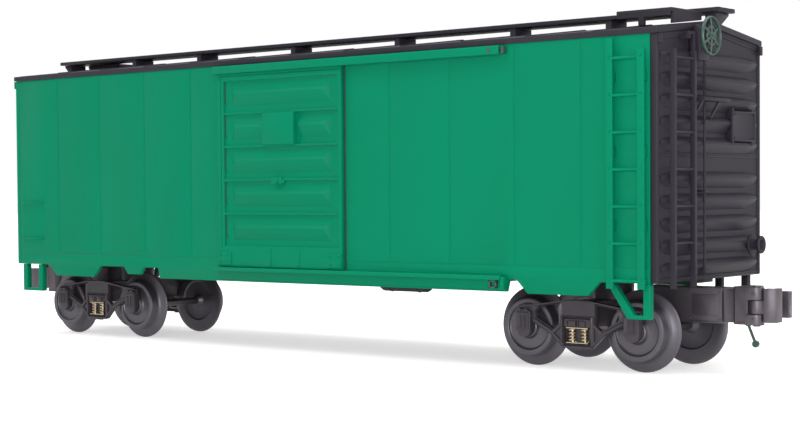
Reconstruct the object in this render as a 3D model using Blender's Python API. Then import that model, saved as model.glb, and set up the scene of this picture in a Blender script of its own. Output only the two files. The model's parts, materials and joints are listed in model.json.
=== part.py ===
# O-gauge (1:48) model of a 40-foot steel boxcar with 8-foot sliding doors.
# Metres, +Z up. The origin is on the ground under the middle of the car.
# +X is the end with the brake wheel. The car looks the same turned half round about Z,
# apart from the brake gear, so most pieces are drawn once for the +X end or the -Y side
# and turned half round for the other.

from math import cos
from math import pi
from math import radians
from math import sin

import bmesh
import bpy
from mathutils import Vector

# Running clearance between pieces, how far cutters run past a face, and how deep
# joined shapes reach into each other
fit_gap = 0.0001
overrun = 0.0010
bite = 0.0003

# Wheels
flange_radius = 0.0117
flange_height = 0.00295
rim_edge_drop = 0.00055
wheel_face = 0.0185
flange_plane = 0.0140
axle_radius = 0.0012
hub_radius = 0.0032
hub_proud = 0.0002
dish_depth = 0.0009
dish_edge = 0.0010
bearing_clearance = 0.0003
bearing_depth = 0.0012
wheel_sides = 24

# Body shell
body_length = 0.2650
body_width = 0.0619
sill_over_axle = 0.0144
side_height = 0.0671
ridge_rise = 0.0037
side_wall = 0.0014
end_wall = 0.0016
floor_thick = 0.0016

# Side sill tabs
truck_inset = 0.0315
tab_top_half = 0.0136
tab_foot_half = 0.0098
tab_depth = 0.0039
sill_depth = 0.0036
sill_slope = 0.0008
small_tab_lead = 0.0135
small_tab_top_half = 0.0050
small_tab_foot_half = 0.0031
long_sill_lead = 0.0272

# Grab irons on the side
grab_rises = [0.0091, 0.0220]
grab_thick = 0.0006
grab_proud = 0.0008

# Doorway and door
door_width = 0.0526
door_shift = -0.0019
door_travel = 0.0540
door_sill_rise = 0.0013
door_head_drop = 0.0027
door_thick = 0.0014
door_gap = 0.0002
doorway_lap = 0.0022
door_stile = 0.0028
door_stile_right = 0.0014
door_rail = 0.0007
door_foot_rail = 0.0068
door_head_rail = 0.0020
panel_recess = 0.0008
panel_count = 5
rib_rise = 0.0012
rib_top_setback = 0.0034
rib_top_drop = 0.00245
rib_crest_drop = 0.0048
rib_low_drop = 0.0079
rib_end_slope = 0.0021
rib_low_taper_share = 0.3
door_board_lead = 0.0203
door_board_width = 0.0133
door_board_proud = 0.0007
door_board_gap = 0.0018
door_board_gap_depth = 0.0003
latch_half = 0.0021
latch_height = 0.0021
latch_proud = 0.0008
hasp_half = 0.0005
hasp_leads = [0.0228, 0.0348]
roller_width = 0.0055
roller_low = 0.0006
roller_height = 0.0042
roller_proud = 0.0005

# Door tracks
track_reach = 0.0026
track_height = 0.0025
track_sheet = 0.0006
track_lap = 0.0002
track_overhang = 0.0013
track_stop_gap = 0.0009
track_stop = 0.0040
ledge_thick = 0.0013
ledge_web = 0.0007
ledge_height = 0.0040

# Roof, running board and lateral boards
roof_thick = 0.0016
roof_side_overhang = 0.0004
roof_end_overhang = 0.0002
seam_shift = 0.0026
seam_each_way = 5
seam_width = 0.0011
seam_rise = 0.0004
board_stand = 0.0021
board_thick = 0.0012
board_half_width = 0.0050
board_overhang = 0.0047
plank_groove = 0.0003
saddle_width = 0.0019
saddle_half = 0.0045
saddle_shares = [1.0, 3.0, 4.5]
tip_bracket_half = 0.0036
tip_bracket_drop = 0.0032
lateral_length = 0.0171
lateral_inset = 0.0083
lateral_thick = 0.0011
lateral_post = 0.0018
lateral_post_depth = 0.0012
lateral_plate = 0.0010
lateral_plate_inset = 0.0010

# Ends
end_wrap = 0.0022
corner_flange = 0.0005
end_recess = 0.0005
end_rib_half = 0.0023
end_rib_depth = 0.0014
end_rib_margin = 0.0021
lower_rib_rise = 0.0034
upper_rib_drop = 0.0061
lower_rib_pitch = 0.00612
upper_rib_pitch = 0.00590
ribs_each = 5
end_seam_half = 0.0005
end_seam_proud = 0.0003
end_seam_gap = 0.0005
corner_cap_proud = 0.0008
corner_cap_drop = 0.0027
corner_cap_width = 0.0016
rib_station_shares = [(-1.0, 0.40), (-0.74, 0.82), (0.0, 1.0), (0.74, 0.82), (1.0, 0.40)]
rib_crest_shares = (0.58, 0.12)

# Ladders
top_rung_drop = 0.0062
low_rung_rise = 0.0007
side_rungs = 7
end_rungs = 6
rung_thick = 0.0009
stile_width = 0.0021
stile_depth = 0.0008
ladder_width = 0.0117
side_ladder_inset = 0.0028
ladder_standoff = 0.0016
inner_stile_drop = 0.0007
outer_stile_drop = 0.0041
stile_foot_drop = 0.0015
lug_height = 0.0026
lug_width = 0.0011
end_ladder_inset = 0.0039
end_ladder_width = 0.0126
end_stile_width = 0.0012
end_stile_depth = 0.0014
end_ladder_standoff = 0.0006
end_grab_rise = 0.0012
end_grab_reach = 0.0028
end_grab_return = 0.0020

# Stirrups under the corners
stirrup_drop = 0.0098
stirrup_tread = 0.0011
stirrup_leg = 0.0021
stirrup_depth = 0.0022
slant_run = 0.0062
slant_tread = 0.0070
u_stirrup_width = 0.0106
u_stirrup_inset = 0.0031

# Brake gear on the +X end
brake_ladder_gap = 0.00175
brake_wheel_rise = 0.0007
brake_wheel_radius = 0.0055
brake_wheel_reach = 0.0047
brake_rim = 0.00050
brake_ring_radius = 0.0024
brake_spoke = 0.00030
brake_hub_radius = 0.0009
brake_spokes = 6
housing_half = 0.0031
housing_drop = 0.0064
housing_rise = 0.0034
housing_depth = 0.0023
rod_radius = 0.00045
rod_foot_rise = 0.0011
rod_shift = 0.0025
step_near = 0.0032
step_far = 0.0125
step_drop = 0.0166
step_thick = 0.0009
step_reach = 0.0036
brace_drop = 0.0046
brace_thick = 0.0006
brace_half = 0.0005
brace_near_inset = 0.0008
brace_far_inset = 0.0051
notch_half = 0.0008

# Other fittings on the ends
card_inset = 0.0067
card_width = 0.0150
card_drop = 0.0196
card_height = 0.0086
card_thick = 0.0008
pocket_inset = 0.0081
pocket_rise = 0.0090
pocket_flange_radius = 0.0032
pocket_flange_thick = 0.0006
pocket_stub_radius = 0.0016
pocket_rim_radius = 0.0026
pocket_reach = 0.0034

# Underframe
center_sill_half = 0.0050
center_sill_deep = 0.0026
center_sill_shallow = 0.0011
center_sill_setback = 0.0300
center_sill_slope = 0.0060
bays_each_way = 4
crossbearer_half = 0.0014
crossbearer_deep = 0.0013
bolster_plate_half = 0.0036
center_plate_radius = 0.0048
reservoir_setback = 0.0017
reservoir_y = -0.0177
reservoir_radius = 0.0028
cylinder_length = 0.0118
cylinder_y = 0.0125
cylinder_radius = 0.0031
cylinder_cap_radius = 0.0012
cylinder_rod_setback = 0.0006
cylinder_setback = 0.0020
valve_length = 0.0060
valve_y = 0.0130
valve_half = 0.0028
valve_drop = 0.0048

# Trucks
wheelbase = 0.0357
frame_inner = 0.0190
frame_web = 0.0010
frame_low_drop = 0.0053
frame_high_rise = 0.0084
flange_proud = 0.0006
flange_thick = 0.0006
column_width = 0.00165
bolster_half = 0.0042
bolster_end_rise = 0.0007
bolster_end_height = 0.0022
bolster_groove = 0.0003
bolster_belly_drop = 0.0009
bolster_shoulder_rise = 0.0079
bolster_setback = 0.0008
bowl_radius = 0.0060
bowl_height = 0.0049
nest_gap = 0.0004
nest_chamfer = 0.0005
spring_seat_drop = 0.0041
spring_plate = 0.0004
spring_offset = 0.00205
coil_radius = 0.00095
coil_wire = 0.00030
coil_half_turns = 7
journal_half = 0.0023
journal_drop = 0.0011
journal_rise = 0.0047
journal_depth = 0.0006
lid_inset = 0.0005
lid_drop = 0.0001
lid_proud = 0.0004
frame_outline_shares = [(0.0, 1.0), (0.308, 0.993), (0.896, 0.861), (1.13, 0.81),
                        (1.13, 0.307), (0.874, 0.307), (0.874, 0.45), (0.76, 0.48), (0.27, 0.0)]
window_shares = [(0.709, 0.847), (0.776, 0.766), (0.742, 0.577), (0.457, 0.365)]
window_top_share = 0.847
window_foot_share = 0.482

# Couplers
coupler_rise = 0.0075
head_half_height = 0.0052
shank_half_height = 0.0046
drawbar_half_width = 0.0040
drawbar_plate = 0.0014
draft_box_start = 0.0200
draft_box_reach = 0.0053
draft_box_half = 0.0045
neck_length = 0.0030
neck_half = 0.0030
head_flare = 0.0012
head_length = 0.0038
head_half_width = 0.0050
pivot_reach = 0.0022
pivot_side = 0.0040
lug_radius = 0.0021
upper_lug_thick = 0.0034
lower_lug_thick = 0.0029
knuckle_gap = 0.0002
knuckle_trim = 0.0008
pin_radius = 0.0008
pin_clearance = 0.0002
knuckle_root = 0.0018
knuckle_reach = 0.0058
nose_hook = 0.0045
guard_reach = 0.0070
guard_tip_side = 0.0080
guard_root_side = 0.0016
guard_thick = 0.0022
guard_half_height = 0.0037
lever_setback = 0.0022
lever_lean = 0.0022
lever_drop = 0.0055
lever_radius = 0.00045
lever_boss_radius = 0.00075
lever_boss_height = 0.0006
lever_ring = 0.0010

half_length = body_length / 2
half_width = body_width / 2
axle_height = flange_radius
sill_height = axle_height + sill_over_axle
eave_height = sill_height + side_height
half_wheelbase = wheelbase / 2
truck_place = half_length - truck_inset
end_face = half_length - end_recess
brake_y = end_ladder_inset + end_ladder_width + brake_ladder_gap + housing_half - half_width
rib_face = end_face + end_rib_depth
side_end = half_length - end_wrap - fit_gap
roof_eave = half_width + roof_side_overhang
roof_end = half_length + roof_end_overhang
seam_pitch = roof_end / (seam_each_way + 1)
board_low = eave_height + ridge_rise + roof_thick + board_stand
board_top = board_low + board_thick
floor_low = sill_height + fit_gap
floor_high = floor_low + floor_thick
frame_top = floor_low - fit_gap
inside_end = end_face - end_wall - fit_gap
inside_width = half_width - side_wall - fit_gap
door_left = door_shift - door_width / 2
door_right = door_shift + door_width / 2
door_low = sill_height + door_sill_rise
door_high = eave_height - door_head_drop
door_face = half_width + door_gap + door_thick
panel_pitch = (door_high - door_low - door_foot_rail - door_head_rail) / panel_count
track_start = door_left - track_overhang
track_end = door_right + door_travel + track_stop_gap + track_stop
long_sill_start = door_left - long_sill_lead
long_sill_end = track_end + track_overhang
top_rung_height = eave_height - top_rung_drop
rung_pitch = (top_rung_height - sill_height - low_rung_rise) / (side_rungs - 1)
stile_low = sill_height - stile_foot_drop
crossbearer_pitch = truck_place / bays_each_way
bowl_high = axle_height + bolster_shoulder_rise + bowl_height
coupler_height = axle_height + coupler_rise
head_start = half_length + draft_box_reach + neck_length
head_front = head_start + head_flare + head_length
pivot_x = head_front + pivot_reach
frame_low = axle_height - frame_low_drop
frame_high = axle_height + frame_high_rise


def roof_under(y):
    """Height of the roof's underside at a distance y from the middle."""
    return eave_height + ridge_rise * (1 - abs(y) / roof_eave)


def material(name, color, roughness, metallic):
    made = bpy.data.materials.new(name)
    made.use_nodes = True
    shader = made.node_tree.nodes["Principled BSDF"]
    shader.inputs["Base Color"].default_value = (*color, 1)
    shader.inputs["Roughness"].default_value = roughness
    shader.inputs["Metallic"].default_value = metallic
    return made


def block(mesh, x, y, z):
    """A box between two values along each axis."""
    corners = [mesh.verts.new((a, b, c)) for a in x for b in y for c in z]
    for face in ((0, 1, 3, 2), (4, 6, 7, 5), (0, 4, 5, 1), (2, 3, 7, 6), (0, 2, 6, 4), (1, 5, 7, 3)):
        mesh.faces.new([corners[i] for i in face])


def prism(mesh, outline, axis, start, end):
    """An outline drawn across an axis, drawn out along it. The outline's pairs are the
    other two coordinates in the order X, Y, Z."""
    rings = []
    for place in (start, end):
        points = [list(pair) for pair in outline]
        for point in points:
            point.insert("XYZ".index(axis), place)
        rings.append([mesh.verts.new(point) for point in points])
    mesh.faces.new(rings[0])
    mesh.faces.new(rings[1])
    skin(mesh, rings)


def skin(mesh, rings):
    """Faces between rings of corners that follow each other."""
    for first, second in zip(rings, rings[1:]):
        for i in range(len(first)):
            j = (i + 1) % len(first)
            mesh.faces.new((first[i], first[j], second[j], second[i]))


def loft(mesh, sections):
    """A solid through closed sections of points, with its first and last section filled."""
    rings = [[mesh.verts.new(point) for point in section] for section in sections]
    mesh.faces.new(rings[0])
    mesh.faces.new(rings[-1])
    skin(mesh, rings)


def turned_shape(mesh, profile, axis, center, sides):
    """A round solid: the profile's pairs are a radius and a place along the axis, and its
    ends are filled. The center's pair is the other two coordinates in the order X, Y, Z."""
    sections = []
    for radius, place in profile:
        ring = []
        for i in range(sides):
            angle = 2 * pi * i / sides - pi / 2
            point = [center[0] + radius * cos(angle), center[1] + radius * sin(angle)]
            point.insert("XYZ".index(axis), place)
            ring.append(point)
        sections.append(ring)
    loft(mesh, sections)


def round_bar(mesh, path, radius, sides):
    """A round bar along a path of points, with filled ends. The path stays near one plane
    or climbs along Z."""
    sections = []
    for i, here in enumerate(path):
        before = path[max(i - 1, 0)]
        after = path[min(i + 1, len(path) - 1)]
        along = (after - before).normalized()
        level = max(abs((b - a).normalized().z) for a, b in zip(path, path[1:])) < cos(pi / 4)
        across = along.cross(Vector((0, 0, 1)) if level else Vector((1, 0, 0)))
        across.normalize()
        up = across.cross(along)
        turns = [2 * pi * (k + 0.5) / sides for k in range(sides)]
        sections.append([here + radius * (cos(t) * across + sin(t) * up) for t in turns])
    loft(mesh, sections)


def ring_bar(mesh, center, radius, bar, steps, sides):
    """A round bar bent into a ring that faces along X."""
    rings = []
    for i in range(steps):
        angle = 2 * pi * i / steps
        out = Vector((0, cos(angle), sin(angle)))
        turns = [2 * pi * k / sides for k in range(sides)]
        points = [center + radius * out + bar * (cos(t) * out + sin(t) * Vector((1, 0, 0)))
                  for t in turns]
        rings.append([mesh.verts.new(point) for point in points])
    skin(mesh, rings + rings[:1])


def strip(points, thick):
    """Outline of a flat bar that follows points, with its thickness to their right."""
    offsets = []
    for i, point in enumerate(points):
        before = Vector(points[max(i - 1, 0)])
        here = Vector(point)
        after = Vector(points[min(i + 1, len(points) - 1)])
        first = (here - before).normalized() if i else (after - here).normalized()
        second = (after - here).normalized() if i < len(points) - 1 else first
        normal = (Vector((first.y, -first.x)) + Vector((second.y, -second.x))).normalized()
        reach = thick / max(normal.dot(Vector((first.y, -first.x))), cos(pi / 3))
        offsets.append(tuple(here + normal * reach))
    return list(points) + offsets[::-1]


class Piece:
    """One named solid. Shapes are drawn in the car's own frame, joined to it or cut from
    it. A turned piece is drawn for the +X end or -Y side and turned half round about Z."""

    def __init__(self, name, finish, shape, pivot=None, turned=False, round_shape=False):
        self.pivot = pivot
        self.turned = turned
        self.body = self.place(name, shape)
        self.body.data.materials.append(finish)
        if round_shape:
            self.body.data.shade_smooth()
            self.body.data.set_sharp_from_angle(angle=radians(40))

    def place(self, name, shape):
        bmesh.ops.recalc_face_normals(shape, faces=shape.faces)
        base = self.pivot.matrix_world.translation if self.pivot else Vector((0, 0, 0))
        side = -1 if self.turned else 1
        for vert in shape.verts:
            vert.co = Vector((side * vert.co.x, side * vert.co.y, vert.co.z)) - base
        mesh = bpy.data.meshes.new(name)
        shape.to_mesh(mesh)
        shape.free()
        made = bpy.data.objects.new(name, mesh)
        made.parent = self.pivot
        bpy.context.scene.collection.objects.link(made)
        return made

    def change(self, shape, operation, crossing):
        tool = self.place(self.body.name + "_" + operation.lower(), shape)
        tool.hide_render = True
        tool.display_type = "WIRE"
        made = self.body.modifiers.new(operation.title(), "BOOLEAN")
        made.operation = operation
        made.solver = "EXACT"
        made.use_self = crossing
        made.object = tool

    def join(self, shape, crossing=False):
        self.change(shape, "UNION", crossing)

    def cut(self, shape, crossing=False):
        self.change(shape, "DIFFERENCE", crossing)


def joint_axis(name, place, carrier=None):
    """An empty on a joint's axis, carried by another one."""
    made = bpy.data.objects.new(name, None)
    bpy.context.scene.collection.objects.link(made)
    base = carrier.matrix_world.translation if carrier else Vector((0, 0, 0))
    made.location = Vector(place) - base
    made.parent = carrier
    bpy.context.view_layer.update()
    return made


def hanging_tab(mesh, start, end, slope, depth):
    """A tab below the sill of the side sheet."""
    low = sill_height - depth
    prism(mesh, [(start, sill_height + bite), (start, sill_height), (start + slope, low),
                 (end - slope, low), (end, sill_height), (end, sill_height + bite)],
          "Y", -half_width, side_wall - half_width)


def make_side(name, finish, turned):
    """The side sheet with its doorway, its sill tabs and two grab irons by the rear end."""
    shape = bmesh.new()
    block(shape, (-side_end, side_end), (-half_width, side_wall - half_width),
          (sill_height, eave_height))
    side = Piece(name, finish, shape, turned=turned)
    tabs = bmesh.new()
    tab_slope = tab_top_half - tab_foot_half
    small_end = long_sill_start - small_tab_lead + small_tab_top_half
    for place in (-truck_place, truck_place):
        hanging_tab(tabs, place - tab_top_half, place + tab_top_half, tab_slope, tab_depth)
    hanging_tab(tabs, small_end - 2 * small_tab_top_half, small_end,
                small_tab_top_half - small_tab_foot_half, sill_depth)
    hanging_tab(tabs, long_sill_start, long_sill_end, sill_slope, sill_depth)
    side.join(tabs, crossing=True)
    irons = bmesh.new()
    start = u_stirrup_inset - half_length
    for rise in grab_rises:
        low = sill_height + rise
        block(irons, (start, start + u_stirrup_width), (-half_width - grab_proud, bite - half_width),
              (low, low + grab_thick))
    side.join(irons)
    doorway = bmesh.new()
    block(doorway, (door_left + doorway_lap, door_right - doorway_lap),
          (-half_width - overrun, side_wall - half_width + overrun),
          (door_low + doorway_lap, door_high - doorway_lap))
    side.cut(doorway)


def make_end(name, finish, turned):
    """The end sheet with its wrapped corners, pressed ribs, seam and corner caps."""
    high = roof_under(half_width) - fit_gap
    outline = [(-half_width, sill_height), (half_width, sill_height), (half_width, high),
               (0, roof_under(0) - fit_gap), (-half_width, high)]
    shape = bmesh.new()
    prism(shape, outline, "X", half_length - end_wrap, half_length)
    end = Piece(name, finish, shape, turned=turned)
    hollow = bmesh.new()
    span = (sill_height - overrun, eave_height + ridge_rise + overrun)
    block(hollow, (half_length - end_wrap - overrun, end_face - end_wall),
          (side_wall - half_width, half_width - side_wall), span)
    face = half_width - 2 * corner_flange
    block(hollow, (end_face, half_length + overrun), (-face, face), span)
    end.cut(hollow)
    ribs = bmesh.new()
    lowest = sill_height + lower_rib_rise
    highest = eave_height - upper_rib_drop
    for i in range(ribs_each):
        end_rib(ribs, lowest + i * lower_rib_pitch)
        end_rib(ribs, highest - i * upper_rib_pitch)
    seam = highest - (ribs_each - 1) * upper_rib_pitch - end_rib_half - end_seam_gap
    reach = half_width - end_rib_margin
    block(ribs, (end_face - bite, end_face + end_seam_proud), (-reach, reach),
          (seam - end_seam_half, seam + end_seam_half))
    end.join(ribs, crossing=True)
    caps = bmesh.new()
    for side in (-1, 1):
        edge = side * (half_width - fit_gap)
        block(caps, (half_length - bite, half_length + corner_cap_proud),
              (edge, edge - side * corner_cap_width), (eave_height - corner_cap_drop,
                                                       eave_height - fit_gap))
    end.join(caps)


def end_rib(mesh, height):
    """A pressed rib across the end that narrows toward both its ends."""
    sections = []
    span = half_width - end_rib_margin
    for place_share, size_share in rib_station_shares:
        half = end_rib_half * size_share
        out = end_face + end_rib_depth * size_share
        y = span * place_share
        sections.append([(end_face - bite, y, height - half), (end_face, y, height - half),
                         (out, y, height + half * rib_crest_shares[1]),
                         (out, y, height + half * rib_crest_shares[0]),
                         (end_face, y, height + half), (end_face - bite, y, height + half)])
    loft(mesh, sections)


def make_door(name, finish, pivot, turned):
    inner = -half_width - door_gap
    outer = -door_face
    shape = bmesh.new()
    block(shape, (door_left, door_right), (outer, inner), (door_low, door_high))
    door = Piece(name, finish, shape, pivot, turned)
    left = door_left + door_stile
    right = door_right - door_stile_right
    floor = outer + panel_recess
    first = door_low + door_foot_rail
    recesses = bmesh.new()
    ribs = bmesh.new()
    for row in range(panel_count):
        low = first + row * panel_pitch
        block(recesses, (left, right), (outer - overrun, floor),
              (low, low + panel_pitch - door_rail))
        wedge(ribs, left, right, low + panel_pitch, floor)
    door.cut(recesses)
    board_row = first + (panel_count - 2) * panel_pitch
    board_left = door_left + door_board_lead
    block(ribs, (board_left, board_left + door_board_width),
          (outer - door_board_proud, inner - bite), (board_row, board_row + panel_pitch - door_rail))
    latch_low = board_row - panel_pitch - door_rail - latch_height / 2
    block(ribs, (door_shift - latch_half, door_shift + latch_half), (outer - latch_proud, inner - bite),
          (latch_low, latch_low + latch_height))
    for lead in hasp_leads:
        place = door_left + lead
        block(ribs, (place - hasp_half, place + hasp_half), (outer - bite, inner - bite),
              (door_low + door_rail, first - door_rail))
    for edge in (door_left + bite, door_right - bite - roller_width):
        block(ribs, (edge, edge + roller_width), (outer - roller_proud, inner - bite),
              (door_low + roller_low, door_low + roller_low + roller_height))
    door.join(ribs, crossing=True)
    gap = bmesh.new()
    start = board_left + door_board_width
    block(gap, (start, start + door_board_gap), (outer - door_board_proud - overrun,
                                                floor + door_board_gap_depth),
          (board_row, board_row + panel_pitch - door_rail))
    door.cut(gap)


def wedge(mesh, left, right, high, floor):
    """A door panel's pressed rib: it slopes out to a crest and back, with tapered ends."""
    rows = ((rib_top_drop, 0, bite), (rib_top_drop, 0, 0), (rib_crest_drop, 1, -rib_rise),
            (rib_low_drop, rib_low_taper_share, 0), (rib_low_drop, rib_low_taper_share, bite))
    ends = []
    for start, side in ((left + rib_top_setback, 1), (right - rib_top_setback, -1)):
        ends.append([(start + side * rib_end_slope * taper, floor + out, high - drop)
                     for drop, taper, out in rows])
    loft(mesh, ends)


def make_tracks(finish, side_name, turned):
    """The channel over the door and the ledge that it runs on."""
    wall = -half_width - fit_gap
    lip_low = door_high - track_lap
    top = lip_low + track_height
    outer = wall - track_reach
    inside = outer + track_sheet
    upper = bmesh.new()
    prism(upper, [(wall, top), (outer, top), (outer, lip_low), (inside, lip_low),
                  (inside, top - track_sheet), (wall, top - track_sheet)],
          "X", track_start, track_end)
    track = Piece("door_track_upper_" + side_name, finish, upper, turned=turned)
    stop = bmesh.new()
    block(stop, (track_end - track_stop, track_end - bite), (outer + track_sheet / 2, wall),
          (door_high + fit_gap, top - track_sheet / 2))
    track.join(stop)
    lower = bmesh.new()
    high = door_low - door_gap
    prism(lower, [(wall, high - ledge_height), (wall - ledge_web, high - ledge_height),
                  (wall - ledge_web, high - ledge_thick), (outer, high - ledge_thick),
                  (outer, high), (wall, high)], "X", track_start, track_end)
    Piece("door_track_lower_" + side_name, finish, lower, turned=turned)


def roof_line(rise, edge):
    """The roof's outer line in Y and Z, raised by some amount."""
    high = roof_thick + rise
    return [(-edge, roof_under(edge) + high), (0, roof_under(0) + high),
            (edge, roof_under(edge) + high)]


def make_roof(finish):
    """The roof sheet with its seams, and what carries the running board: the saddles and
    the bracket at each end."""
    shape = bmesh.new()
    under = [(roof_eave, eave_height), (0, roof_under(0)), (-roof_eave, eave_height)]
    prism(shape, roof_line(0, roof_eave) + under, "X", -roof_end, roof_end)
    roof = Piece("roof", finish, shape)
    seams = bmesh.new()
    edge = roof_eave - seam_rise
    for i in range(-seam_each_way, seam_each_way + 1):
        middle = seam_shift + i * seam_pitch
        prism(seams, roof_line(seam_rise, edge) + roof_line(-bite, edge)[::-1], "X",
              middle - seam_width / 2, middle + seam_width / 2)
    roof.join(seams)
    saddles = bmesh.new()
    high = board_low - fit_gap
    bottom = roof_line(-2 * bite, saddle_half)
    for share in saddle_shares:
        for side in (-1, 1):
            middle = seam_shift + side * share * seam_pitch
            prism(saddles, [(-saddle_half, high)] + bottom + [(saddle_half, high)], "X",
                  middle - saddle_width / 2, middle + saddle_width / 2)
    for side in (-1, 1):
        wall = side * (roof_end - bite)
        tip = side * (half_length + board_overhang - board_thick)
        low = roof_under(tip_bracket_half) + bite
        prism(saddles, [(wall, high), (wall, low), (side * (roof_end + bite), low),
                        (tip, high - board_thick / 2), (tip, high)],
              "Y", -tip_bracket_half, tip_bracket_half)
    roof.join(saddles)


def make_running_board(finish):
    tip = half_length + board_overhang
    third = 2 * board_half_width / 3
    outline = [(-board_half_width, board_low), (-board_half_width, board_top)]
    for edge in (-third / 2, third / 2):
        outline += [(edge - plank_groove, board_top), (edge - plank_groove, board_top - plank_groove),
                    (edge + plank_groove, board_top - plank_groove), (edge + plank_groove, board_top)]
    outline += [(board_half_width, board_top), (board_half_width, board_low)]
    shape = bmesh.new()
    prism(shape, outline, "X", -tip, tip)
    Piece("running_board", finish, shape)


def make_lateral_board(name, finish, turned):
    """The corner walkway from the running board toward the ladder, with a post under its
    outer edge and a plate along the roof's end."""
    top = board_low + fit_gap
    low = top - lateral_thick
    inner = -board_half_width - fit_gap
    outer = lateral_inset - half_width
    end = half_length - fit_gap
    start = end - lateral_length
    shape = bmesh.new()
    block(shape, (start, end), (outer, inner), (low, top))
    board = Piece(name, finish, shape, turned=turned)
    carriers = bmesh.new()
    clear = roof_thick + seam_rise + fit_gap
    middle = (start + end) / 2
    plate_outer = outer + lateral_plate_inset
    for x, near, far in ((middle, outer, outer + lateral_post_depth),
                         (end, plate_outer, inner - seam_rise)):
        wide = lateral_post if x < end else lateral_plate
        prism(carriers, [(near, low + bite), (near, roof_under(near) + clear),
                         (far, roof_under(far) + clear), (far, low + bite)], "X", x - wide, x)
    board.join(carriers)


def make_side_ladder(name, finish, turned):
    back = -half_width - ladder_standoff
    front = back - stile_depth
    end = half_length - side_ladder_inset
    start = end - ladder_width
    stiles = bmesh.new()
    extras = bmesh.new()
    wall = -half_width - fit_gap
    for edge, drop in ((start, inner_stile_drop), (end - stile_width, outer_stile_drop)):
        block(stiles, (edge, edge + stile_width), (front, back), (stile_low, eave_height - drop))
        lug = (edge + stile_width - lug_width, edge + stile_width - bite / 2)
        for i in range(1, side_rungs - 1, 2):
            middle = top_rung_height - (i - 0.5) * rung_pitch
            block(extras, lug, (back - bite, wall), (middle - lug_height / 2, middle + lug_height / 2))
        block(extras, lug, (back - bite, wall), (sill_height, sill_height + lug_height / 2))
    ladder = Piece(name, finish, stiles, turned=turned)
    for i in range(side_rungs):
        z = top_rung_height - i * rung_pitch
        round_bar(extras, [Vector((start + bite, (front + back) / 2, z)),
                           Vector((end - bite, (front + back) / 2, z))], rung_thick / 2, 6)
    ladder.join(extras)


def make_end_ladder(name, finish, turned):
    """The ladder on the end. Its inner stile runs on upward into a grab iron."""
    back = rib_face + fit_gap + end_ladder_standoff
    front = back + end_stile_depth
    outer = end_ladder_inset - half_width
    inner = outer + end_ladder_width
    stiles = bmesh.new()
    extras = bmesh.new()
    top_rib = eave_height - upper_rib_drop
    low_rib = sill_height + lower_rib_rise
    for edge in (outer, inner - end_stile_width):
        block(stiles, (back, front), (edge, edge + end_stile_width),
              (stile_low, eave_height - outer_stile_drop))
        for middle in (top_rib - upper_rib_pitch, low_rib + (ribs_each - 1) * lower_rib_pitch,
                       low_rib + lower_rib_pitch):
            block(extras, (rib_face + fit_gap, back + bite),
                  (edge + bite, edge + end_stile_width - bite),
                  (middle - end_rib_half / 2, middle + end_rib_half))
    ladder = Piece(name, finish, stiles, turned=turned)
    middle = (front + back) / 2
    for i in range(end_rungs):
        z = top_rung_height - i * rung_pitch
        round_bar(extras, [Vector((middle, outer + bite, z)), Vector((middle, inner - bite, z))],
                  rung_thick / 2, 6)
    ladder.join(extras)
    grab = bmesh.new()
    rise = eave_height + end_grab_rise
    thick = rung_thick / 2
    side = inner - end_stile_width / 2
    far = side - end_grab_reach
    low = rise - end_grab_return
    block(grab, (middle - thick, middle + thick), (side - thick, side + thick),
          (eave_height - outer_stile_drop - bite, rise))
    block(grab, (middle - thick, middle + thick), (far, side), (rise - 2 * thick, rise))
    block(grab, (middle - thick, middle + thick), (far - thick, far + thick), (low, rise))
    block(grab, (end_face + fit_gap, middle), (far - thick, far + thick), (low, low + 2 * thick))
    ladder.join(grab, crossing=True)


def make_stirrups(finish, turned, names):
    """Under each side: a slanted step below the ladder and a plain U at the other corner."""
    top = sill_height - fit_gap
    low = sill_height - stirrup_drop
    tread = low + stirrup_tread
    depth = (-half_width, stirrup_depth - half_width)
    outer = side_end - fit_gap
    foot = outer - slant_tread
    slope = stirrup_leg
    shape = bmesh.new()
    prism(shape, [(foot - slant_run, top), (foot, low), (outer, low), (outer, top),
                  (outer - stirrup_leg, top), (outer - stirrup_leg, tread), (foot + slope, tread),
                  (foot + slope - slant_run, top)], "Y", *depth)
    Piece(names[0], finish, shape, turned=turned)
    outer = u_stirrup_inset - half_length
    inner = outer + u_stirrup_width
    shape = bmesh.new()
    prism(shape, [(outer, top), (outer, low), (inner, low), (inner, top),
                  (inner - stirrup_leg, top), (inner - stirrup_leg, tread),
                  (outer + stirrup_leg, tread), (outer + stirrup_leg, top)], "Y", *depth)
    Piece(names[1], finish, shape, turned=turned)


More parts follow.
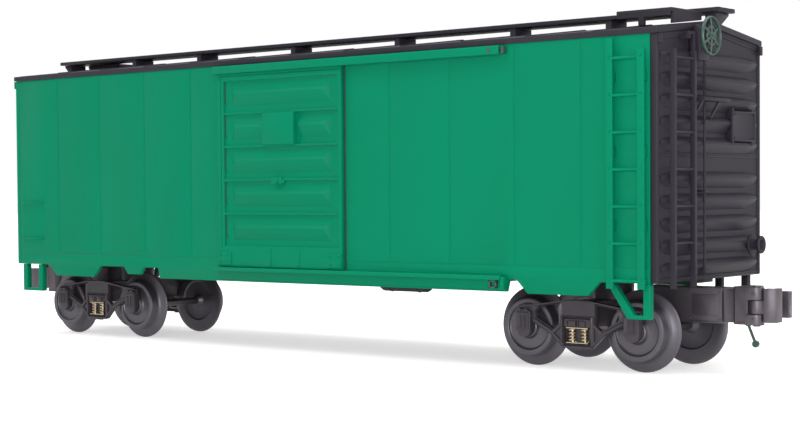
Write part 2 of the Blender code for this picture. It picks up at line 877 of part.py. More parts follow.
def make_brake_gear(finish, wheel_finish):
    """The hand brake: housing, wheel, rod to below the car and the step for its user."""
    back = end_face + fit_gap
    clear = rib_face + fit_gap
    rib_top = eave_height - upper_rib_drop + end_rib_half
    front = clear + housing_depth
    low = eave_height - housing_drop
    high = eave_height + housing_rise
    shape = bmesh.new()
    prism(shape, [(clear, low), (front - housing_depth / 3, low), (front, low + housing_depth),
                  (front, high - housing_depth / 2), (front - housing_depth / 2, high),
                  (clear, high), (clear, eave_height - fit_gap), (back, eave_height - fit_gap),
                  (back, rib_top + fit_gap), (clear, rib_top + fit_gap)],
          "Y", brake_y - housing_half, brake_y + housing_half)
    Piece("brake_housing", finish, shape)

    wheel_x = rib_face + brake_wheel_reach - brake_rim
    height = eave_height + brake_wheel_rise
    hub = Vector((wheel_x, brake_y, height))
    shape = bmesh.new()
    turned_shape(shape, [(brake_hub_radius, front + fit_gap), (brake_hub_radius, wheel_x + brake_rim)],
                 "X", (brake_y, height), 10)
    wheel = Piece("brake_wheel", wheel_finish, shape, round_shape=True)
    rims = bmesh.new()
    ring_bar(rims, hub, brake_wheel_radius - brake_rim, brake_rim, 24, 5)
    ring_bar(rims, hub, brake_ring_radius, brake_spoke, 12, 4)
    spokes = bmesh.new()
    for i in range(brake_spokes):
        angle = 2 * pi * (i + 0.25) / brake_spokes
        out = Vector((0, cos(angle), sin(angle)))
        round_bar(spokes, [hub + out * brake_hub_radius / 2,
                           hub + out * (brake_wheel_radius - brake_rim)], brake_spoke, 4)
    wheel.join(spokes, crossing=True)
    wheel.join(rims)

    rod_x = clear + rod_radius
    rod_y = brake_y + rod_shift
    shape = bmesh.new()
    turned_shape(shape, [(rod_radius, sill_height + rod_foot_rise), (rod_radius, low - fit_gap)],
                 "Z", (rod_x, rod_y), 6)
    Piece("brake_rod", finish, shape, round_shape=True)

    shape = bmesh.new()
    edge = clear + step_reach
    top = eave_height - step_drop
    under = top - step_thick
    ends = (brake_y - step_near, brake_y + step_far)
    block(shape, (clear, edge), ends, (under, top))
    step = Piece("brake_step", finish, shape)
    braces = bmesh.new()
    for place in (ends[0] + brace_near_inset, ends[1] - brace_far_inset):
        prism(braces, [(clear, under - brace_drop), (edge - brace_thick, under + bite),
                       (edge - 2 * brace_thick - bite, under + bite),
                       (clear, under - brace_drop + 2 * brace_thick)],
              "Y", place - brace_half, place + brace_half)
    step.join(braces)
    notch = bmesh.new()
    block(notch, (clear - overrun, rod_x + notch_half), (rod_y - notch_half, rod_y + notch_half),
          (under - overrun, top + overrun))
    step.cut(notch)


def make_end_fittings(finish, name, turned):
    """The card board and the flanged pocket low on the corner."""
    clear = rib_face + fit_gap
    shape = bmesh.new()
    far = half_width - card_inset
    high = eave_height - card_drop
    block(shape, (clear, clear + card_thick), (far - card_width, far), (high - card_height, high))
    Piece("card_board_" + name, finish, shape, turned=turned)
    shape = bmesh.new()
    face = clear + pocket_flange_thick
    end = clear + pocket_reach
    turned_shape(shape, [(pocket_flange_radius, clear), (pocket_flange_radius, face),
                         (pocket_stub_radius, face), (pocket_stub_radius, (face + end) / 2),
                         (pocket_rim_radius, end - pocket_flange_thick), (pocket_rim_radius, end)],
                 "X", (half_width - pocket_inset, sill_height + pocket_rise), 12)
    Piece("pole_pocket_" + name, finish, shape, turned=turned, round_shape=True)


def make_underframe(finish):
    shape = bmesh.new()
    block(shape, (-inside_end, inside_end), (-inside_width, inside_width), (floor_low, floor_high))
    Piece("floor", finish, shape)

    deep = frame_top - center_sill_deep
    shallow = frame_top - center_sill_shallow
    outer = truck_place - center_sill_setback
    inner = outer - center_sill_slope
    shape = bmesh.new()
    prism(shape, [(-inside_end, frame_top), (-inside_end, shallow), (-outer, shallow),
                  (-inner, deep), (inner, deep), (outer, shallow), (inside_end, shallow),
                  (inside_end, frame_top)], "Y", -center_sill_half, center_sill_half)
    frame = Piece("underframe", finish, shape)
    members = bmesh.new()
    low = frame_top - crossbearer_deep
    for i in range(1 - bays_each_way, bays_each_way):
        place = i * crossbearer_pitch
        prism(members, [(-inside_width, frame_top - bite), (-inside_width, low + 2 * bite),
                        (-center_sill_half, low), (center_sill_half, low),
                        (inside_width, low + 2 * bite), (inside_width, frame_top - bite)],
              "X", place - crossbearer_half, place + crossbearer_half)
    for place in (-truck_place, truck_place):
        block(members, (place - bolster_plate_half, place + bolster_plate_half),
              (-inside_width, inside_width), (shallow - bite, frame_top - bite))
    frame.join(members)
    plates = bmesh.new()
    for place in (-truck_place, truck_place):
        turned_shape(plates, [(center_plate_radius, bowl_high + fit_gap),
                              (center_plate_radius, shallow + bite)], "Z", (place, 0), 16)
    frame.join(plates)


def make_air_brake(finish):
    """The reservoir, the brake cylinder and the control valve, each in its own bay."""
    top = frame_top - fit_gap
    start = crossbearer_pitch + crossbearer_half + reservoir_setback
    end = 2 * crossbearer_pitch - crossbearer_half - reservoir_setback
    dome = reservoir_radius / 3
    shape = bmesh.new()
    turned_shape(shape, [(2 * dome, start), (reservoir_radius, start + dome),
                         (reservoir_radius, end - dome), (2 * dome, end)],
                 "X", (reservoir_y, top - reservoir_radius), 14)
    Piece("air_reservoir", finish, shape, round_shape=True)
    start = cylinder_setback - crossbearer_pitch
    end = start + cylinder_length
    shape = bmesh.new()
    turned_shape(shape, [(2 * dome, start), (cylinder_radius, start + dome),
                         (cylinder_radius, end), (cylinder_cap_radius, end + dome),
                         (cylinder_cap_radius, -crossbearer_half - cylinder_rod_setback)],
                 "X", (cylinder_y, top - cylinder_radius), 14)
    Piece("brake_cylinder", finish, shape, round_shape=True)
    middle = 0.75 * crossbearer_pitch
    shape = bmesh.new()
    block(shape, (middle - valve_length / 2, middle + valve_length / 2),
          (valve_y - valve_half, valve_y + valve_half), (top - valve_drop, top))
    Piece("control_valve", finish, shape)


def frame_points(shares, side):
    """Side frame points from shares of the half wheelbase and of the frame's height."""
    return [(side * half_wheelbase * a, frame_low + (frame_high - frame_low) * b)
            for a, b in shares]


def make_side_frame(name, finish, truck, turned, far):
    """A cast side frame: arched top chord, sloping lower chord, two windows, the spring
    opening between its columns and a journal box at each end. The flanges stand proud."""
    sign = 1 if far else -1
    inner = sign * frame_inner
    web = sign * (frame_inner + frame_web)
    proud = web + sign * flange_proud
    root = web - sign * bite

    def at(points):
        return [(truck_place + x, z) for x, z in points]

    right = frame_points(frame_outline_shares, 1)
    left = frame_points(frame_outline_shares[1:], -1)
    shape = bmesh.new()
    prism(shape, at(right + left[::-1]), "Y", inner, web)
    frame = Piece(name, finish, shape, truck, turned)

    nest = bolster_half + nest_gap
    column = nest + column_width
    rise = frame_high - frame_low
    over = proud + sign * overrun
    under = inner - sign * overrun
    holes = bmesh.new()
    for side in (-1, 1):
        window = ([(side * column, frame_low + window_top_share * rise)]
                  + frame_points(window_shares, side)
                  + [(side * column, frame_low + window_foot_share * rise)])
        prism(holes, at(window), "Y", under, over)
        turned_shape(holes, [(axle_radius + bearing_clearance, under),
                             (axle_radius + bearing_clearance, inner + sign * bearing_depth)],
                     "Y", (truck_place + side * half_wheelbase, axle_height), 12)
    head = axle_height + bolster_end_rise + bolster_end_height + nest_gap
    seat = axle_height - spring_seat_drop
    prism(holes, at([(-nest, head), (nest, head), (nest, seat + nest_chamfer),
                     (nest - nest_chamfer, seat), (nest_chamfer - nest, seat),
                     (-nest, seat + nest_chamfer)]), "Y", under, over)

    extras = bmesh.new()
    chord = frame_points(frame_outline_shares[:4], -1)[::-1] + frame_points(
        frame_outline_shares[1:4], 1)
    prism(extras, at(strip(chord, flange_thick)), "Y", root, proud)
    foot = frame_points(frame_outline_shares[6:], 1)
    lower = foot + [(-x, z) for x, z in foot[::-1]]
    prism(extras, at(strip(lower, flange_thick)), "Y", root, proud)
    for side in (-1, 1):
        box = truck_place + side * half_wheelbase
        end = proud + sign * journal_depth
        high = axle_height + journal_rise
        low = axle_height - journal_drop
        prism(extras, [(box - journal_half, low + flange_thick), (box - journal_half + flange_thick, low),
                       (box + journal_half - flange_thick, low),
                       (box + journal_half, low + flange_thick), (box + journal_half, high),
                       (box - journal_half, high)], "Y", root, end)
        lid = journal_half - lid_inset
        prism(extras, [(box - lid, axle_height - lid_drop), (box - lid / 2, low + flange_thick),
                       (box + lid / 2, low + flange_thick), (box + lid, axle_height - lid_drop),
                       (box + lid, high - flange_thick), (box - lid, high - flange_thick)],
              "Y", end - sign * bite, end + sign * lid_proud)
        edge = side * (column - flange_thick / 2)
        block(extras, (truck_place + edge - side * flange_thick, truck_place + edge),
              (root, web + sign * flange_proud / 2), (seat + nest_chamfer, head + flange_thick))
    frame.join(extras, crossing=True)
    frame.cut(holes)


def make_springs(name, finish, truck, turned, far):
    """Two coil springs between their plates, under the bolster's end."""
    sign = 1 if far else -1
    middle = sign * (frame_inner + frame_web / 2)
    low = axle_height - spring_seat_drop + fit_gap
    high = axle_height + bolster_end_rise - fit_gap
    half = bolster_half - nest_chamfer
    deep = coil_radius + coil_wire
    plates = bmesh.new()
    for z in (low, high - spring_plate):
        block(plates, (truck_place - half, truck_place + half), (middle - deep, middle + deep),
              (z, z + spring_plate))
    springs = Piece(name, finish, plates, truck, turned)
    coils = bmesh.new()
    steps = 4 * coil_half_turns
    start = low + spring_plate / 2
    rise = high - low - spring_plate
    for side in (-1, 1):
        path = []
        for i in range(steps + 1):
            angle = pi * i / 4
            path.append(Vector((truck_place + side * spring_offset + coil_radius * cos(angle),
                                middle + coil_radius * sin(angle), start + rise * i / steps)))
        round_bar(coils, path, coil_wire, 4)
    springs.join(coils)


def make_bolster(name, finish, truck, turned):
    """The cross beam: its ends rest on the springs and its bowl carries the car."""
    end = frame_inner + frame_web + flange_proud
    inside = frame_inner - 2 * fit_gap
    low = axle_height + bolster_end_rise
    high = low + bolster_end_height
    shoulder = axle_height + bolster_shoulder_rise
    half_outline = [(bowl_radius, axle_height - bolster_belly_drop),
                    ((frame_inner + bowl_radius) / 2, low), (end, low), (end, high), (inside, high),
                    (inside - bolster_setback, shoulder), (bowl_radius, shoulder)]
    outline = half_outline + [(-y, z) for y, z in half_outline[::-1]]
    shape = bmesh.new()
    prism(shape, outline, "X", truck_place - bolster_half, truck_place + bolster_half)
    bolster = Piece(name, finish, shape, truck, turned)
    bowl = bmesh.new()
    turned_shape(bowl, [(bowl_radius, shoulder - bite), (bowl_radius, bowl_high)],
                 "Z", (truck_place, 0), 16)
    bolster.join(bowl)
    grooves = bmesh.new()
    for side in (-1, 1):
        block(grooves, (truck_place - bolster_groove, truck_place + bolster_groove),
              (side * (end - flange_proud), side * (end + overrun)), (low - overrun, high + overrun))
    bolster.cut(grooves)


def wheel_profile():
    """Half a wheelset's profile from the axle's tip to the middle, as radius and place."""
    rim_radius = flange_radius - flange_height - rim_edge_drop
    tread_radius = flange_radius - flange_height
    dish_radius = rim_radius - dish_edge
    web = wheel_face - dish_depth
    tip = frame_inner + bearing_depth - bearing_clearance
    hub = wheel_face + hub_proud
    slope = axle_radius / 2
    return [(slope, tip), (axle_radius, tip - slope), (axle_radius, hub), (hub_radius, hub),
            (hub_radius, web), (dish_radius, web), (dish_radius, wheel_face),
            (rim_radius, wheel_face), (tread_radius, flange_plane + axle_radius),
            (flange_radius - rim_edge_drop / 4, flange_plane + slope), (flange_radius, flange_plane),
            (rim_radius, flange_plane - slope), (axle_radius, flange_plane - axle_radius)]


def make_wheelset(name, finish, pivot, place, turned):
    half = wheel_profile()
    profile = [(radius, -along) for radius, along in half] + half[::-1]
    shape = bmesh.new()
    turned_shape(shape, profile, "Y", (place, axle_height), wheel_sides)
    Piece(name, finish, shape, pivot, turned, round_shape=True)


def make_coupler(name, finish, truck, turned):
    """The drawbar from the bolster, the draft box and neck, and the head with its guard
    arm and the two lugs that hold the knuckle on a pin."""
    low = coupler_height - head_half_height
    high = coupler_height + head_half_height
    start = truck_place + bolster_half + fit_gap
    box_start = half_length - draft_box_start
    box_end = half_length + draft_box_reach
    shape = bmesh.new()
    block(shape, (start, box_start + bite), (-drawbar_half_width, drawbar_half_width),
          (low, low + drawbar_plate))
    coupler = Piece(name, finish, shape, truck, turned)
    box = bmesh.new()
    block(box, (box_start, box_end), (-draft_box_half, draft_box_half),
          (low, coupler_height + shank_half_height))
    coupler.join(box)
    neck = bmesh.new()
    block(neck, (box_end - bite, head_start + bite), (-neck_half, neck_half),
          (low + bite, coupler_height + shank_half_height - bite))
    coupler.join(neck)
    head = bmesh.new()
    shoulder = head_start + head_flare
    prism(head, [(head_start, -neck_half - bite), (shoulder, -head_half_width),
                 (head_front, -head_half_width), (head_front, guard_root_side),
                 (head_front, head_half_width), (shoulder, head_half_width),
                 (head_start, neck_half + bite)], "Z", low, high)
    coupler.join(head)
    guard = bmesh.new()
    tip_x = head_front + guard_reach
    tip_in = guard_tip_side - guard_thick
    prism(guard, [(head_front - bite, guard_root_side), (tip_x - guard_thick, tip_in),
                  (tip_x, tip_in), (tip_x, guard_tip_side), (tip_x - guard_thick, guard_tip_side),
                  (head_front - bite, head_half_width - bite)],
          "Z", coupler_height - guard_half_height, coupler_height + guard_half_height)
    coupler.join(guard)
    lugs = bmesh.new()
    for foot, top in ((low, low + lower_lug_thick), (high - upper_lug_thick, high)):
        round_end = [(pivot_x + lug_radius * sin(pi * i / 6), -pivot_side - lug_radius * cos(pi * i / 6))
                     for i in range(7)]
        prism(lugs, [(head_front - bite, -pivot_side - lug_radius)] + round_end
              + [(head_front - bite, lug_radius - pivot_side)], "Z", foot, top)
    coupler.join(lugs)
    pin = bmesh.new()
    turned_shape(pin, [(pin_radius, low + bite), (pin_radius, high - bite)], "Z",
                 (pivot_x, -pivot_side), 10)
    coupler.join(pin)


def make_knuckle(name, finish, pivot, turned):
    """The jaw that swings on the coupler's pin: a hub between the lugs and a hooked nose."""
    low = coupler_height - head_half_height
    high = coupler_height + head_half_height
    hub_low = low + lower_lug_thick + knuckle_gap
    hub_high = high - upper_lug_thick - knuckle_gap
    y = -pivot_side
    reach = lug_radius + 2 * knuckle_gap
    root = knuckle_root
    shape = bmesh.new()
    turned_shape(shape, [(root, hub_low), (root, hub_high)], "Z", (pivot_x, y), 12)
    knuckle = Piece(name, finish, shape, pivot, turned)
    arm = bmesh.new()
    prism(arm, [(pivot_x, y - root / 2), (pivot_x + reach + root / 2, y - root / 2),
                (pivot_x + reach + root / 2, y + root), (pivot_x, y + root - knuckle_gap)],
          "Z", hub_low, hub_high)
    knuckle.join(arm)
    jaw = bmesh.new()
    front = pivot_x + knuckle_reach
    outer = y - root / 2 - knuckle_gap
    nose = y + nose_hook
    prism(jaw, [(pivot_x + reach, outer), (front - root, outer), (front, y), (front, nose - root / 2),
                (front - root / 2, nose), (front - root, nose), (front - root, y + root),
                (pivot_x + reach, y + root)], "Z", low + knuckle_trim, high - bite)
    knuckle.join(jaw)
    bore = bmesh.new()
    turned_shape(bore, [(pin_radius + pin_clearance, low - overrun),
                        (pin_radius + pin_clearance, high + overrun)], "Z", (pivot_x, y), 10)
    knuckle.cut(bore)


def make_lever(name, finish, truck, turned):
    """The thin pin that hangs below the head and opens the knuckle."""
    top = coupler_height - head_half_height - fit_gap
    x = head_front - lever_setback
    foot_x = x + lever_lean
    foot_z = top - lever_drop
    shape = bmesh.new()
    turned_shape(shape, [(lever_boss_radius, top - lever_boss_height), (lever_boss_radius, top)],
                 "Z", (x, 0), 8)
    lever = Piece(name, finish, shape, truck, turned, round_shape=True)
    rod = bmesh.new()
    round_bar(rod, [Vector((x, 0, top - bite)), Vector((foot_x, 0, foot_z))], lever_radius, 6)
    turned_shape(rod, [(lever_ring, -lever_radius), (lever_ring, lever_radius)], "Y",
                 (foot_x, foot_z), 8)
    lever.join(rod, crossing=True)


def make_truck(end_name, turned, finishes):
    side = -1 if turned else 1
    truck = joint_axis("truck_" + end_name + "_axis", (side * truck_place, 0, bowl_high))
    near, far = ("far", "near") if turned else ("near", "far")
    for name, is_far in ((near, False), (far, True)):
        make_side_frame(f"side_frame_{end_name}_{name}", finishes["truck"], truck, turned, is_far)
        make_springs(f"springs_{end_name}_{name}", finishes["spring"], truck, turned, is_far)
    make_bolster("bolster_" + end_name, finishes["truck"], truck, turned)
    for name, offset in (("outer", half_wheelbase), ("inner", -half_wheelbase)):
        place = truck_place + offset
        axle = joint_axis(f"axle_{end_name}_{name}_axis", (side * place, 0, axle_height), truck)
        make_wheelset(f"wheelset_{end_name}_{name}", finishes["wheel"], axle, place, turned)
    make_coupler("coupler_" + end_name, finishes["coupler"], truck, turned)
    hinge = joint_axis(f"knuckle_{end_name}_axis",
                       (side * pivot_x, -side * pivot_side, coupler_height), truck)
    make_knuckle("knuckle_" + end_name, finishes["coupler"], hinge, turned)
    make_lever("uncoupling_pin_" + end_name, finishes["lever"], truck, turned)


def main():
    for found in list(bpy.data.objects):
        bpy.data.objects.remove(found, do_unlink=True)
    green = material("green_plastic", (0.0, 0.28, 0.14), 0.45, 0.0)
    black = material("black_plastic", (0.045, 0.04, 0.045), 0.5, 0.0)
    finishes = {"truck": material("black_diecast", (0.05, 0.048, 0.055), 0.42, 0.6),
                "wheel": material("blackened_steel", (0.09, 0.085, 0.09), 0.35, 0.9),
                "spring": material("spring_steel", (0.42, 0.36, 0.28), 0.3, 1.0),
                "coupler": material("cast_coupler_metal", (0.11, 0.095, 0.09), 0.4, 0.8),
                "lever": material("dark_green_plastic", (0.03, 0.05, 0.035), 0.45, 0.0)}
    make_underframe(black)
    make_air_brake(black)
    make_roof(black)
    make_running_board(black)
    make_brake_gear(black, finishes["lever"])
    for end_name, side_name, turned in (("front", "near", False), ("rear", "far", True)):
        make_end("end_" + end_name, black, turned)
        make_end_fittings(black, end_name, turned)
        make_lateral_board("lateral_board_" + end_name, black, turned)
        make_end_ladder("end_ladder_" + end_name, black, turned)
        make_side("side_" + side_name, green, turned)
        make_tracks(green, side_name, turned)
        make_side_ladder("side_ladder_" + side_name, green, turned)
        other = "rear" if end_name == "front" else "front"
        make_stirrups(green, turned, (f"stirrup_{end_name}_{side_name}",
                                      f"stirrup_{other}_{side_name}"))
        slide = joint_axis(f"door_{side_name}_axis",
                           (0, half_width if turned else -half_width, door_low))
        make_door("door_" + side_name, green, slide, turned)
        make_truck(end_name, turned, finishes)


main()
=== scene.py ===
import json
from math import cos, pi, radians, sin

import bmesh
import bpy
from mathutils import Matrix, Vector

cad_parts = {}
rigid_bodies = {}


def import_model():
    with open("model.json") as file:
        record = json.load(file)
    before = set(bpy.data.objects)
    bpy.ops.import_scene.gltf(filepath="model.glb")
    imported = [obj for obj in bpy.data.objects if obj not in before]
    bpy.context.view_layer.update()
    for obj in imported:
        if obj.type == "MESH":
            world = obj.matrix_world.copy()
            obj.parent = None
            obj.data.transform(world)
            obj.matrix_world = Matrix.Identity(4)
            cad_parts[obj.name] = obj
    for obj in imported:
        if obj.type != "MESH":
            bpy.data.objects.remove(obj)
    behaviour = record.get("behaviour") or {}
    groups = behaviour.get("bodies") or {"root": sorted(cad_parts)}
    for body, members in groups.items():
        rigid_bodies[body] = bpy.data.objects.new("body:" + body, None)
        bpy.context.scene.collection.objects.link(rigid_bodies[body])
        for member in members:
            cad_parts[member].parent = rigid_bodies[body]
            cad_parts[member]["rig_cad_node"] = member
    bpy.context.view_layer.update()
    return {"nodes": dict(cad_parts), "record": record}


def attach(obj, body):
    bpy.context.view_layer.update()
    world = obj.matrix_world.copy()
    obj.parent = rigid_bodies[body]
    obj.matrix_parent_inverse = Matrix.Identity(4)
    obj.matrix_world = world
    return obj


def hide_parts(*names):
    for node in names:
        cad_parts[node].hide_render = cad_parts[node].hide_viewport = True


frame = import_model()
mm = 0.001  # every size below is in millimetres, and is turned to metres where it is used


# small helpers for working in object and edit mode


def deselect():
    if bpy.context.mode != "OBJECT":
        bpy.ops.object.mode_set(mode="OBJECT")
    bpy.ops.object.select_all(action="DESELECT")


def activate(piece):
    deselect()
    piece.select_set(True)
    bpy.context.view_layer.objects.active = piece


def settle(piece):  # its place goes into its mesh, and the object stays at the origin
    activate(piece)
    bpy.ops.object.transform_apply(location=True, rotation=True, scale=True)
    return piece


def openUp(piece, test=None, kind="FACE"):  # edit mode, with what passes the test selected
    activate(piece)
    bpy.ops.object.mode_set(mode="EDIT")
    bpy.ops.mesh.select_mode(type=kind)
    bpy.ops.mesh.select_all(action="DESELECT" if test else "SELECT")
    if test:
        mesh = bmesh.from_edit_mesh(piece.data)
        for item in mesh.verts if kind == "VERT" else mesh.faces:
            item.select = bool(test(item))
        mesh.select_flush_mode()
        bmesh.update_edit_mesh(piece.data)


def closeUp(piece, tidy=True):
    if tidy:
        bpy.ops.mesh.select_all(action="SELECT")
        bpy.ops.mesh.remove_doubles(threshold=0.00001)
        bpy.ops.mesh.normals_make_consistent(inside=False)
    bpy.ops.object.mode_set(mode="OBJECT")
    return piece


def nudge(piece, test, x, z=0.0):  # moves the corners that pass the test
    openUp(piece, test, "VERT")
    bpy.ops.transform.translate(value=(x * mm, 0, z * mm))
    bpy.ops.object.mode_set(mode="OBJECT")


def move(*value):
    return {"value": [v * mm for v in value]}


def along(axis):  # 1 on the named axis and 0 on the others
    return [float(axis == letter) for letter in "XYZ"]


def stepFaces(piece, test, *steps):  # insets, each (width, depth), of the faces that pass
    openUp(piece, test)
    for width, depth in steps:
        bpy.ops.mesh.inset(thickness=width * mm, depth=depth * mm)
    closeUp(piece)


def roundedOff(piece, name, soft, test=None):  # a new primitive, its chosen edges softened
    settle(piece)
    piece.name = name
    if soft:
        openUp(piece, test)
        bpy.ops.mesh.bevel(offset=soft * mm, segments=2, affect="EDGES")
        closeUp(piece)
    return piece


def addBlock(name, low, high, soft=0.0):  # a box between two corners
    deselect()
    center = [(a + b) / 2 * mm for a, b in zip(low, high)]
    bpy.ops.mesh.primitive_cube_add(size=1, location=center,
                                    scale=[abs(b - a) * mm for a, b in zip(low, high)])
    return roundedOff(bpy.context.object, name, soft)


def addRod(name, start, end, radius, sides=16, soft=0.0):  # a round bar between two points
    deselect()
    a, b = Vector(start) * mm, Vector(end) * mm
    bpy.ops.mesh.primitive_cylinder_add(vertices=sides, radius=radius * mm, depth=(b - a).length,
                                        location=(a + b) / 2,
                                        rotation=(b - a).to_track_quat("Z", "Y").to_euler())
    return roundedOff(bpy.context.object, name, soft, lambda face: len(face.verts) > 4)


def traceChain(name, points):  # one vertex drawn along a row of points
    deselect()
    bpy.ops.mesh.primitive_plane_add(size=mm, location=Vector(points[0]) * mm)
    piece = settle(bpy.context.object)
    piece.name = name
    openUp(piece, kind="VERT")
    bpy.ops.mesh.merge(type="CENTER")
    for last, point in zip(points, points[1:]):
        bpy.ops.mesh.extrude_vertices_move(
            TRANSFORM_OT_translate=move(*(b - a for a, b in zip(last, point))))
    return piece


def traceShape(name, points, depth):  # an outline closed, filled and drawn out
    piece = traceChain(name, points)
    mesh = bmesh.from_edit_mesh(piece.data)
    mesh.verts.ensure_lookup_table()
    bpy.ops.mesh.select_all(action="DESELECT")
    for vert in mesh.verts:
        vert.select = len(vert.link_edges) == 1
    mesh.select_flush_mode()
    bpy.ops.mesh.edge_face_add()
    bpy.ops.mesh.select_all(action="SELECT")
    bpy.ops.mesh.edge_face_add()
    bpy.ops.mesh.select_mode(type="FACE")
    bpy.ops.mesh.extrude_region_move(TRANSFORM_OT_translate=move(*depth))
    return closeUp(piece)


def spinShape(name, profile, axis, center, steps):  # a profile of (radius, height) spun round
    across = "YZX"["XYZ".index(axis)]
    points = []
    for radius, height in profile:
        point = list(center)
        point["XYZ".index(axis)] += height
        point["XYZ".index(across)] += radius
        points.append(point)
    piece = traceChain(name, points)
    bpy.ops.mesh.select_all(action="SELECT")
    bpy.ops.mesh.spin(steps=steps, angle=2 * pi, center=Vector(center) * mm, axis=along(axis))
    return closeUp(piece)


def addPipe(name, path, radius):  # a bent round bar along a path
    piece = traceChain(name, path)
    closeUp(piece, tidy=False)
    activate(piece)
    bpy.ops.object.convert(target="CURVE")
    piece = bpy.context.object
    piece.data.bevel_depth = radius * mm
    piece.data.bevel_resolution = 3
    piece.data.use_fill_caps = True
    bpy.ops.object.convert(target="MESH")
    piece = bpy.context.object
    piece.name = name
    openUp(piece)
    return closeUp(piece)


def useModifier(piece, kind, **settings):
    activate(piece)
    made = piece.modifiers.new(kind.title(), kind)
    for key, value in settings.items():
        setattr(made, key, value)
    bpy.ops.object.modifier_apply(modifier=made.name)
    return piece


def soften(piece, width, segments=2, angle=32):  # a moulded edge instead of a sharp one
    return useModifier(piece, "BEVEL", width=width * mm, segments=segments,
                       limit_method="ANGLE", angle_limit=radians(angle))


def copyOf(piece, name, shift=(0, 0, 0), halfTurn=False, mirror=None):
    twin = piece.copy()
    twin.data = piece.data.copy()
    twin.name = name
    bpy.context.scene.collection.objects.link(twin)
    change = Matrix.Translation(Vector(shift) * mm)
    if halfTurn:
        change = Matrix.Rotation(pi, 4, "Z")
    if mirror:
        change = change @ Matrix.Scale(-1, 4, along(mirror))
    twin.data.transform(change)
    if mirror:
        twin.data.flip_normals()
    return twin


def joined(name, pieces):
    activate(pieces[0])
    for piece in pieces[1:]:
        piece.select_set(True)
    bpy.ops.object.join()
    piece = bpy.context.object
    piece.name = name
    return piece


def finishPiece(piece, body, finish, replaced=(), angle=38):
    piece.data.materials.clear()
    piece.data.materials.append(finish)
    activate(piece)
    bpy.ops.object.shade_smooth_by_angle(angle=radians(angle))
    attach(piece, body)
    if replaced:
        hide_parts(*replaced)
    return piece


def finishTwins(piece, twinName, finish, bodies=("car", "car"), nodes=()):
    # the piece and its copy half a turn round the car, each on its body and for its node
    twin = finishPiece(copyOf(piece, twinName, halfTurn=True), bodies[1], finish, nodes[1:])
    finishPiece(piece, bodies[0], finish, nodes[:1])
    return twin


def paintFaces(piece, finish, test):  # a second finish on the faces that pass the test
    piece.data.materials.append(finish)
    for face in piece.data.polygons:
        if test(face):
            face.material_index = len(piece.data.materials) - 1


# materials


def addNode(tree, kind, settings=None, links=None):
    node = tree.nodes.new(kind)
    for key, value in (settings or {}).items():
        if isinstance(key, int) or key in node.inputs:
            node.inputs[key].default_value = value
        else:
            setattr(node, key, value)
    for key, source in (links or {}).items():
        tree.links.new(source, node.inputs[key])
    return node


def linear(hexColor):  # sRGB hex to the linear value that Blender works in
    parts = [int(hexColor[i:i + 2], 16) / 255 for i in (0, 2, 4)]
    parts = [p / 12.92 if p <= 0.04045 else ((p + 0.055) / 1.055) ** 2.4 for p in parts]
    return tuple(parts + [1.0])


finishes = {
    # The real grain of all of these is nearer 0.1 mm. It is drawn three to six times as coarse,
    # at "grain" in millimetres, so that it shows; "cloud" is the size of the soft mottling.
    # ABS shell sprayed with a satin emerald lacquer: an even colour with soft, wide highlights,
    # over the faint pebble of the mould
    "lacqueredAbs": {"slot": "body_green", "light": "007D5B", "dark": "007654", "metallic": 0.0,
                     "rough": 0.45, "roughSpread": 0.06, "grain": 0.5, "height": 0.012,
                     "cloud": 38.0, "specular": 0.07},
    # black ABS straight from the mould: a grey-black with a dull waxy sheen
    "mouldedAbs": {"slot": "body_black", "light": "35323A", "dark": "29262D", "metallic": 0.0,
                   "rough": 0.48, "roughSpread": 0.08, "grain": 0.45, "height": 0.016,
                   "cloud": 24.0, "specular": 0.10},
    # zinc die casting dipped in black paint: an uneven grey-black over the grain of the casting
    "dippedZinc": {"slot": "truck_black", "light": "4C474D", "dark": "302C32", "metallic": 0.15,
                   "rough": 0.40, "roughSpread": 0.12, "grain": 0.6, "height": 0.03,
                   "cloud": 7.0, "specular": 0.25},
    # turned and chemically blackened steel: a mid grey with the soft shine of metal
    "blackenedSteel": {"slot": "wheel_steel", "light": "605C63", "dark": "48454B", "metallic": 0.75,
                       "rough": 0.42, "roughSpread": 0.10, "grain": 0.4, "height": 0.01,
                       "cloud": 9.0, "specular": 0.5},
    # the same steel on the edge of the flange, lighter and shinier: where running rubs it, and a
    # painted highlight along that edge
    "rolledSteel": {"slot": "wheel_steel", "light": "68646B", "dark": "4E4A51", "metallic": 0.8,
                    "rough": 0.42, "roughSpread": 0.06, "grain": 0.3, "height": 0.004,
                    "cloud": 6.0, "specular": 0.5},
    # hard drawn spring wire, left bright, with a straw tint from its heat
    "springWire": {"slot": "spring_steel", "light": "E2D2B4", "dark": "93826A", "metallic": 1.0,
                   "rough": 0.30, "roughSpread": 0.10, "grain": 0.3, "height": 0.004,
                   "cloud": 2.0, "specular": 0.5},
    # bare zinc casting, blackened: paler and more metallic than the paint of the trucks
    "blackenedZinc": {"slot": "coupler_metal", "light": "5D585F", "dark": "433D43",
                      "metallic": 0.55, "rough": 0.40, "roughSpread": 0.12, "grain": 0.5,
                      "height": 0.03, "cloud": 5.0, "specular": 0.5},
    # dark green acetal: smooth and slick, so it looks oilier than the lacquer beside it; also used
    # for the dark strips and blocks that paint shade at the doors and the track ends
    "oilyAcetal": {"slot": "dark_green", "light": "35564A", "dark": "213630", "metallic": 0.0,
                   "rough": 0.36, "roughSpread": 0.06, "grain": 0.4, "height": 0.006,
                   "cloud": 4.0, "specular": 0.5},
}


def newMaterial(name):
    made = bpy.data.materials.new(name)
    made.use_nodes = True
    return made, made.node_tree, made.node_tree.nodes["Principled BSDF"]


